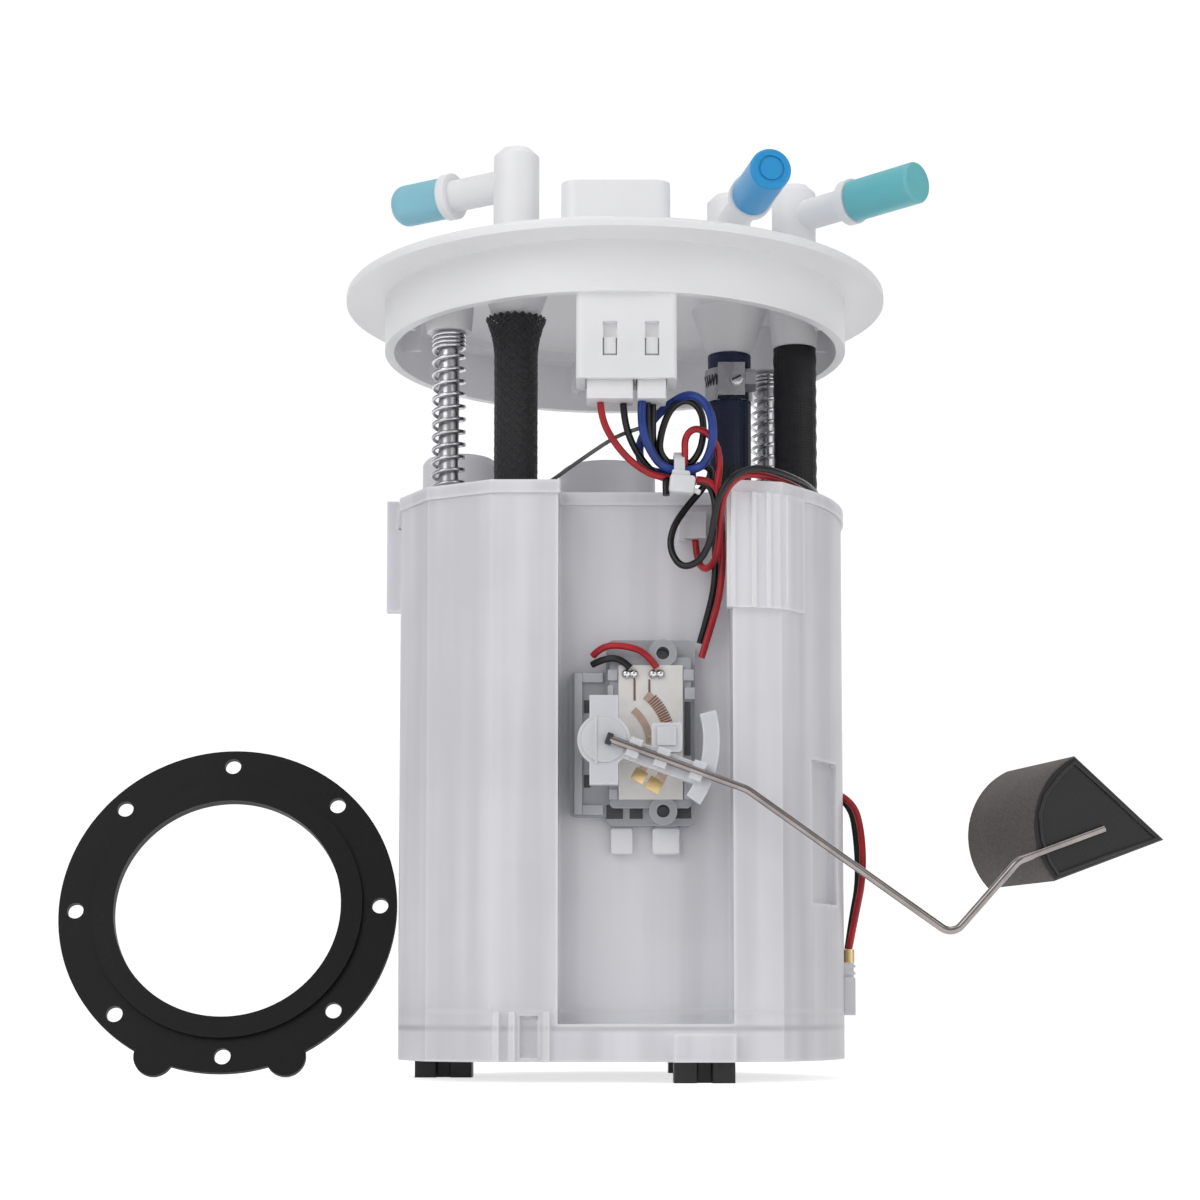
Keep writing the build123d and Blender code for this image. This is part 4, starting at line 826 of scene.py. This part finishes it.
class FUELPUMP_OT_wires(bpy.types.Operator):
    """Lay the wires as smooth round cords along their routes."""

    bl_idname = "fuel_pump.wires"
    bl_label = "Wires"

    def execute(self, context):
        red = insulation("wire_red", colours().red_wire)
        black = insulation("wire_black", WIRE_BLACK)
        blue = insulation("wire_blue", colours().blue_wire)
        for group, body in ((FLANGE_WIRES, "flange"), (BETWEEN_WIRES, None), (FIXED_WIRES, "reservoir")):
            for name, points in group.items():
                radius = sizes().blue_wire if "blue" in name else sizes().wire
                wire = strand(f"cord_{name}", points, radius)
                path, length = centreline(wire)
                if body is None:
                    wire = to_mesh(wire)
                paint(wire, blue if "blue" in name else red if "red" in name else black)
                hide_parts(name)
                if body is None:
                    name == "lead_black_pump"
                    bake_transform(wire)
                else:
                    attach(wire, body)
                declare_cord(length, radius)
        return {"FINISHED"}


# The springs: the rise of an open coil in metres, the coils that lie close at the top, and their rise
# in radii of the wire
COIL_PITCH = 0.0032
CLOSE_COILS = 3.4
CLOSE_PITCH = 2.15
STEPS_IN_COIL = 20


def coil(name, place, top):
    """One compression spring: open coils from the lid up, then close coils against the boss."""
    x, y = place
    wire = sizes().spring_wire
    radius = sizes().spring
    close = CLOSE_COILS * wire * CLOSE_PITCH
    open_turns = (top - SPRING_FOOT - close) / COIL_PITCH
    total = open_turns + CLOSE_COILS
    steps = int(total * STEPS_IN_COIL)
    points = []
    for step in range(steps + 1):
        turns = total * step / steps
        if turns < open_turns:
            z = SPRING_FOOT + (top - close - SPRING_FOOT) * turns / open_turns
        else:
            z = top - close + close * (turns - open_turns) / CLOSE_COILS
        turn = 2 * math.pi * turns
        points.append((x + radius * math.cos(turn), y + radius * math.sin(turn), z))
    spring = to_mesh(tube(name, "POLY", points, wire, 3))
    bpy.ops.object.shade_smooth()
    return spring


class FUELPUMP_OT_springs(bpy.types.Operator):
    """Wind the two bright springs round their rods."""

    bl_idname = "fuel_pump.springs"
    bl_label = "Springs"

    def execute(self, context):
        steel = metal("spring_steel", (0.62, 0.62, 0.64, 1), 0.22, 0.2, (400.0, 400.0, 400.0))
        for side, place, top in (("left", LEFT_ROD, -0.0136), ("right", RIGHT_ROD, -0.0096)):
            spring = coil(f"coil_{side}", place, top)
            paint(spring, steel)
            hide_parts(f"spring_{side}")
            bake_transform(spring)
        return {"FINISHED"}


class FUELPUMP_OT_hoses(bpy.types.Operator):
    """Draw the navy hose, the waved black hose and the hose inside the braid."""

    bl_idname = "fuel_pump.hoses"
    bl_label = "Hoses"

    def execute(self, context):
        navy = cloth_hose("navy_skin", (0.014, 0.020, 0.055, 1), black_below=-0.040)
        black = cloth_hose("black_skin", (0.010, 0.010, 0.012, 1), 0.004)
        core = cloth_hose("core_skin", (0.012, 0.012, 0.013, 1))
        for name, node, place, outer, wave, skin in (
            ("navy_hose", "hose_navy", NAVY_HOSE, 0.00569, 0.0, navy),
            ("black_hose", "hose_black", BLACK_HOSE, 0.00561, 0.00009, black),
            ("braid_core", "hose_inner", BRAIDED_HOSE, 0.00475, 0.0, core),
        ):
            hose = hose_tube(name, place, outer, wave)
            paint(hose, skin)
            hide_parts(node)
            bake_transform(hose)
        return {"FINISHED"}


# The braid, in metres: its strands wave over and under each other and open towards the top
BRAID_FOOT = HOSE_FOOT + 0.0001
BRAID_TOP = HOSE_TOP - 0.0001
BRAID_STEPS = 130
BRAID_RADIUS = 0.00525
FLARE_HEIGHT = 0.010
FLARE_WIDTH = 0.0021
STRAND_HALF = 0.00036
STRAND_RISE = 0.00014
STRAND_THICKNESS = 0.00022


def braid_strand(number, way):
    """The two edges of one flat strand, from foot to top, as pairs of points."""
    x, y = BRAIDED_HOSE
    count = sizes().braid_strands
    pitch = sizes().braid_pitch
    points = []
    for step in range(BRAID_STEPS + 1):
        climb = (BRAID_TOP - BRAID_FOOT) * step / BRAID_STEPS
        z = BRAID_FOOT + climb
        turn = way * 2 * math.pi * climb / pitch + 2 * math.pi * number / count
        flare = max(0.0, (z - (BRAID_TOP - FLARE_HEIGHT)) / FLARE_HEIGHT)
        base = BRAID_RADIUS + FLARE_WIDTH * flare * flare
        over = math.cos(count * 2 * math.pi * climb / pitch + math.pi * number)
        radius = base + way * STRAND_RISE * over
        slope = math.atan2(2 * math.pi * base / pitch, 1.0)
        for side in (-1, 1):
            swing = turn + side * way * STRAND_HALF * math.cos(slope) / base
            lift = -side * STRAND_HALF * math.sin(slope)
            points.append((x + radius * math.cos(swing), y + radius * math.sin(swing), z + lift))
    return points


class FUELPUMP_OT_braid(bpy.types.Operator):
    """Plait the braid of the left hose from flat strands that pass over and under, opening at the top."""

    bl_idname = "fuel_pump.braid"
    bl_label = "Braid"

    def execute(self, context):
        points, faces, uvs = [], [], []
        for way in (1, -1):
            for number in range(sizes().braid_strands):
                start = len(points)
                points += braid_strand(number, way)
                for step in range(BRAID_STEPS):
                    first = start + 2 * step
                    faces.append((first, first + 1, first + 3, first + 2))
                    low, high = step / 10, (step + 1) / 10
                    uvs.append(((low, 0), (low, 1), (high, 1), (high, 0)))
        mesh = bpy.data.meshes.new("braid")
        mesh.from_pydata(points, [], faces)
        layer = mesh.uv_layers.new(name="along")
        for face, corners in zip(mesh.polygons, uvs):
            for loop, corner in zip(face.loop_indices, corners):
                layer.data[loop].uv = corner
        braid = bpy.data.objects.new("braid", mesh)
        context.collection.objects.link(braid)
        only(braid)
        thick = braid.modifiers.new("thickness", "SOLIDIFY")
        thick.thickness = STRAND_THICKNESS
        thick.offset = 0.0
        bpy.ops.object.modifier_apply(modifier=thick.name)
        bpy.ops.object.shade_smooth_by_angle(angle=math.radians(50))
        paint(braid, braid_fibre("braid_fibre", (0.014, 0.014, 0.016, 1)))
        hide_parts("braided_sleeve")
        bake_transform(braid)
        return {"FINISHED"}


# The level sender, in millimetres and degrees: its pivot, how far front its layers lie, and the
# distances from the pivot at which the card's printed ends and its ladder of lines lie
PIVOT = (-3.0, -118.5)
WALL_RIB = -35.6
WALL_SLOT = -35.05
CARD_TAB = -36.9
CARD_PRINT = -38.05
HOLDER_FACE = -49.75
INNER_END = 11.5
OUTER_END = 15.7
LADDER = 16.3
LADDER_START = 18.0
LADDER_STEP = 2.3
LADDER_LINES = 12


def on_card(radius, angle):
    """A place on the card, by its distance and angle from the arm's pivot."""
    turn = math.radians(angle)
    return (PIVOT[0] + radius * math.cos(turn), CARD_PRINT - 0.05, PIVOT[1] + radius * math.sin(turn))


class FUELPUMP_OT_sender(bpy.types.Operator):
    """Add the level sender's ribs, clips, printed lines and the raised square of its arm."""

    bl_idname = "fuel_pump.sender"
    bl_label = "Level sender"

    def execute(self, context):
        ribs = [
            block("rib", (1.9, 1.5, 34.6), (-9.2, WALL_RIB, -118.0)),
            block("rib", (5.0, 1.3, 2.3), (-5.7, WALL_RIB + 0.1, -101.8)),
            block("rib", (5.0, 1.3, 2.3), (-5.7, WALL_RIB + 0.1, -134.2)),
        ]
        for left, right, top, foot in (
            (-2.0, 0.4, -100.0, -102.7), (-2.0, -0.7, -103.9, -106.9),
            (16.3, 18.9, -100.0, -102.7), (16.7, 19.2, -104.4, -107.3),
            (-1.7, 0.4, -129.3, -131.7), (16.5, 18.3, -127.4, -131.7),
        ):
            middle = ((left + right) / 2, CARD_TAB, (top + foot) / 2)
            ribs.append(block("rib", (right - left, 1.6, top - foot), middle))
        # The ribs and tabs get a lighter copy of the frame's grey: a painted highlight on raised parts.
        joined("sender_ribs", ribs, moulded("rib_highlight_grey", shade(colours().sender, 1.25)), "reservoir")

        slot_shades = []
        for x, y, z, wide, high in (
            (-7.0, WALL_SLOT, -108.8, 1.6, 3.1),
            (-7.0, WALL_SLOT, -127.1, 1.6, 3.1),
            (17.4, WALL_SLOT - 2.0, -114.4, 1.5, 13.2),
            (-0.35, WALL_SLOT, -134.6, 4.1, 3.4),
            (4.9, WALL_SLOT, -134.6, 3.2, 3.4),
            (16.0, WALL_SLOT, -134.6, 4.6, 3.2),
        ):
            slot_shades.append(block("slot", (wide, 0.3, high), (x, y, z)))
        joined("sender_slots", slot_shades, moulded("slot_shade", (0.07, 0.07, 0.08, 1), 0.8), "reservoir")

        clips = [block("clip", (5.6, 2.9, 6.6), (1.4, -32.6, -141.6), bevel=0.8),
                 block("clip", (6.8, 2.9, 6.6), (12.2, -32.6, -141.6), bevel=0.8)]
        joined("sender_clips", clips, milky("clip_nylon", (0.84, 0.84, 0.88, 1), 0.3), "reservoir")

        lines = [block("line", (0.5, 0.2, 7.0), (4.5, CARD_PRINT, -104.2)),
                 block("line", (0.5, 0.2, 3.2), (8.1, CARD_PRINT, -104.1))]
        first = block("line", (2.7, 0.4, 0.38), on_card(LADDER, LADDER_START), slope=LADDER_START)
        lines.append(first)
        for step in range(1, LADDER_LINES):
            lines.append(copied(first, -LADDER_STEP * step, "Y", (PIVOT[0], 0.0, PIVOT[1])))
        joined("card_lines", lines, moulded("printed_line", (0.20, 0.10, 0.07, 1), 0.5), "reservoir")
        ends = [block("end", (3.2, 0.3, 3.0), on_card(INNER_END, -41.0), slope=-30.0),
                block("end", (3.6, 0.3, 3.2), on_card(OUTER_END, -38.5), slope=-30.0)]
        joined("card_ends", ends, metal("gold_print", (0.75, 0.55, 0.28, 1), 0.4, 0.2), "reservoir")
        joined("card_stop", [block("stop", (2.6, 0.4, 3.0), on_card(LADDER + 0.1, 12.0), slope=12.0)],
               moulded("burnt_print", (0.05, 0.035, 0.03, 1), 0.5), "reservoir")

        raised = [block("raised", (4.6, 0.9, 4.4), (12.0, HOLDER_FACE - 0.05, -117.7), bevel=0.5),
                  stub("hub", 5.4, 0.5, (PIVOT[0], HOLDER_FACE, PIVOT[1]), bevel=0.15),
                  block("ridge", (0.6, 0.5, 11.0), (-4.85, HOLDER_FACE - 0.35, -118.6))]
        joined("arm_square", raised, nodes["arm_holder"].material_slots[0].material, "float_arm")
        socket = block("socket", (1.5, 1.9, 2.7), (-1.7, HOLDER_FACE - 1.15, -118.4), slope=-20.0)
        joined("arm_socket", [socket], moulded("socket_shade", (0.04, 0.04, 0.045, 1), 0.6), "float_arm")
        return {"FINISHED"}


# The float's face, in millimetres: how far it turns about Z, the middle of its curved edge, and its
# border as places to the right of that middle and above it
FLOAT_TURN = math.radians(14.0)
FLOAT_CORNER = Vector((99.2, -50.7 + 4.2 * math.tan(FLOAT_TURN), -136.3))
FLOAT_BORDER = (
    (10.4, 12.6), (6.6, 9.2), (3.0, 4.8), (1.4, 0.0), (2.0, -6.0), (3.8, -11.0), (5.9, -14.2),
    (18.0, -9.8), (31.6, -5.2), (21.0, 4.0),
)
BORDER_RADIUS = 0.00055


class FUELPUMP_OT_float_border(bpy.types.Operator):
    """Raise the border round the float's black face."""

    bl_idname = "fuel_pump.float_border"
    bl_label = "Float border"

    def execute(self, context):
        across = Vector((math.cos(FLOAT_TURN), math.sin(FLOAT_TURN), 0))
        outwards = Vector((math.sin(FLOAT_TURN), -math.cos(FLOAT_TURN), 0))
        points = []
        for right, up in FLOAT_BORDER:
            points.append((FLOAT_CORNER + across * right + Vector((0, 0, up)) + outwards * 0.1) / 1000)
        border = tube("float_border", "POLY", points, BORDER_RADIUS, 2)
        border.data.splines[0].use_cyclic_u = True
        border = to_mesh(border)
        # The last number is how strongly the border's edges get a painted highlight.
        paint(border, moulded("border_foam", (0.016, 0.016, 0.017, 1), 0.45, 1200.0, grain=0.3, edge_highlight=0.1))
        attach(border, "float_arm")
        return {"FINISHED"}


# The clamp, in millimetres and degrees: its middle, its screw and the dark marks of painted shade in the
# slots of its band
CLAMP = (30.5, 10.0, -18.15)
CLAMP_RADIUS = 6.52
CLAMP_SCREW = 31.7
CLAMP_SLOTS = 5
SLOT_SIZE = (0.12, 0.5, 5.2)
SLOT_SLOPE = -12.0
SLOT_START = 200.0
SLOT_STEP = 9.0


class FUELPUMP_OT_clamp(bpy.types.Operator):
    """Add the worm clamp's screw head, with dark marks of painted shade in its slot and in the slots of its
    band.
    """

    bl_idname = "fuel_pump.clamp"
    bl_label = "Hose clamp"

    def execute(self, context):
        x, y, z = CLAMP
        head = stub("head", 1.75, 1.1, (CLAMP_SCREW, -0.9, z), bevel=0.25)
        joined("clamp_head", [head], nodes["clamp_band"].material_slots[0].material, "flange")
        # Thin dark blocks in the screw's slot and on the band's slots are painted shade.
        slot_shades = [block("slot", (2.6, 0.2, 0.5), (CLAMP_SCREW, -1.5, z), slope=25.0)]
        angle = math.radians(SLOT_START)
        place = (x + CLAMP_RADIUS * math.cos(angle), y + CLAMP_RADIUS * math.sin(angle), z)
        first = block("slot", SLOT_SIZE, place, slope=SLOT_SLOPE, bevel=0.03, turn=SLOT_START)
        slot_shades.append(first)
        for step in range(1, CLAMP_SLOTS):
            slot_shades.append(copied(first, SLOT_STEP * step, "Z", (x, y, 0.0)))
        joined("clamp_slot_shading", slot_shades, moulded("clamp_painted_shade", (0.02, 0.02, 0.022, 1), 0.7), "flange")
        return {"FINISHED"}


# Wires that only the photograph has, in millimetres
LOOSE_WIRES = {
    "black_loop": [
        in_tie(TIE_LEFT + 1.2, 120), (10.2, -47.4, -49.2), (10.9, -48.2, -43.4), (13.2, -48.4, -37.8),
        (17.2, -48.4, -35.6), (20.6, -48.2, -38.4), (21.2, -48.0, -44.0), (20.0, -47.2, -49.2),
        in_tie(TIE_RIGHT - 1.4, 120),
    ],
    "red_hook": [
        in_tie(TIE_RIGHT - 3.0, 150), (16.6, -48.4, -49.6), (16.4, -49.4, -45.6), (18.4, -49.6, -43.2),
        (21.4, -49.4, -43.8), (23.9, -48.8, -46.4), (25.0, -48.0, -50.4), (24.7, -47.0, -54.4),
        (24.3, -46.2, -57.4),
    ],
    "black_twin": [
        (7.5, -51.6, PLUG_FOOT), (7.5, -51.4, -41.8), (8.0, -49.8, -46.8), (9.8, -47.6, -50.6),
        in_tie(TIE_LEFT + 0.4, 110), in_tie(TIE_RIGHT - 1.0, 110),
    ],
    "cut_end": [
        in_tie(TIE_LEFT + 2.0, 250), (12.0, -47.6, -55.2), (11.9, -48.6, -57.0), (12.0, -48.9, -59.4),
    ],
}
THIN_WIRE = [
    (5.4, -50.0, -43.4), (2.0, -48.8, -44.2), (-1.4, -46.6, -45.4), (-7.0, -42.4, -48.2),
    (-12.6, -38.0, -51.2), (-16.4, -33.6, -52.9), (-19.0, -29.8, -53.6),
]


class FUELPUMP_OT_loose_wires(bpy.types.Operator):
    """Add the loops and the cut end at the tie, the twin of the black wire and the thin grey wire."""

    bl_idname = "fuel_pump.loose_wires"
    bl_label = "Loops at the tie"

    def execute(self, context):
        black = insulation("loop_black", WIRE_BLACK)
        red = insulation("loop_red", colours().red_wire)
        for name, points in LOOSE_WIRES.items():
            loop = strand(name, points, sizes().wire)
            path, length = centreline(loop)
            paint(loop, red if "red" in name else black)
            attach(loop, "flange")
            declare_cord(length, sizes().wire)
        thin = strand("thin_wire", THIN_WIRE, sizes().grey_wire)
        path, length = centreline(thin)
        thin = to_mesh(thin)
        paint(thin, insulation("thin_grey", (0.10, 0.095, 0.095, 1)))
        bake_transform(thin)
        declare_cord(length, sizes().grey_wire)
        return {"FINISHED"}


# The cable tie's strap, in metres
STRAP_RADIUS = 0.0048
STRAP_WIDTH = 0.0026
STRAP_THICKNESS = 0.0009


class FUELPUMP_OT_tie(bpy.types.Operator):
    """Make the cable tie: a strap round the bundle, with its head below."""

    bl_idname = "fuel_pump.tie"
    bl_label = "Cable tie"

    def execute(self, context):
        bpy.ops.object.select_all(action="DESELECT")
        bpy.ops.mesh.primitive_cylinder_add(
            vertices=40, radius=STRAP_RADIUS, depth=STRAP_WIDTH, end_fill_type="NOTHING"
        )
        strap = context.active_object
        wall = strap.modifiers.new("wall", "SOLIDIFY")
        wall.thickness = STRAP_THICKNESS
        wall.offset = -1.0
        bpy.ops.object.modifier_apply(modifier=wall.name)
        strap = settled(strap, "strap", (15.2, TIE[1], TIE[2]), (0, math.radians(90), 0), 0.00012)
        head = block("head", (6.2, 3.4, 4.6), (15.8, -49.9, -57.0), slope=-6.0, bevel=0.9)
        lip = block("lip", (4.4, 2.4, 1.6), (15.5, -49.8, -54.4), slope=-6.0, bevel=0.5)
        tail = block("tail", (3.4, 1.0, 1.2), (18.6, -50.2, -58.4), slope=-24.0, bevel=0.3)
        nylon = milky("tie_nylon", (0.80, 0.81, 0.83, 1), 0.4, roughness=0.35, depth=0.002)
        tie = joined("cable_tie", [strap, head, lip, tail], nylon, "flange")
        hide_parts("zip_tie")
        return {"FINISHED"}


class FUELPUMP_PT_panel(bpy.types.Panel):
    bl_idname = "FUELPUMP_PT_panel"
    bl_label = "Fuel pump module"
    bl_space_type = "VIEW_3D"
    bl_region_type = "UI"
    bl_category = "Fuel pump"

    def draw(self, context):
        for group in (context.scene.fuel_pump_sizes, context.scene.fuel_pump_colours):
            for name in group.__annotations__:
                self.layout.prop(group, name)
        for operator in OPERATORS:
            self.layout.operator(operator.bl_idname)


OPERATORS = (
    FUELPUMP_OT_stage, FUELPUMP_OT_mouldings, FUELPUMP_OT_metals, FUELPUMP_OT_dark_parts,
    FUELPUMP_OT_wires, FUELPUMP_OT_springs, FUELPUMP_OT_hoses, FUELPUMP_OT_braid,
    FUELPUMP_OT_sender, FUELPUMP_OT_float_border, FUELPUMP_OT_clamp, FUELPUMP_OT_loose_wires,
    FUELPUMP_OT_tie,
)
CLASSES = (FUELPUMP_PG_sizes, FUELPUMP_PG_colours, *OPERATORS, FUELPUMP_PT_panel)


def register():
    for kind in CLASSES:
        bpy.utils.register_class(kind)
    bpy.types.Scene.fuel_pump_sizes = bpy.props.PointerProperty(type=FUELPUMP_PG_sizes)
    bpy.types.Scene.fuel_pump_colours = bpy.props.PointerProperty(type=FUELPUMP_PG_colours)


def unregister():
    del bpy.types.Scene.fuel_pump_colours
    del bpy.types.Scene.fuel_pump_sizes
    for kind in reversed(CLASSES):
        bpy.utils.unregister_class(kind)


def main():
    register()
    bpy.ops.fuel_pump.stage()
    bpy.ops.fuel_pump.mouldings()
    bpy.ops.fuel_pump.metals()
    bpy.ops.fuel_pump.dark_parts()
    bpy.ops.fuel_pump.wires()
    bpy.ops.fuel_pump.springs()
    bpy.ops.fuel_pump.hoses()
    bpy.ops.fuel_pump.braid()
    bpy.ops.fuel_pump.sender()
    bpy.ops.fuel_pump.float_border()
    bpy.ops.fuel_pump.clamp()
    bpy.ops.fuel_pump.loose_wires()
    bpy.ops.fuel_pump.tie()


if __name__ == "__main__":
    main()
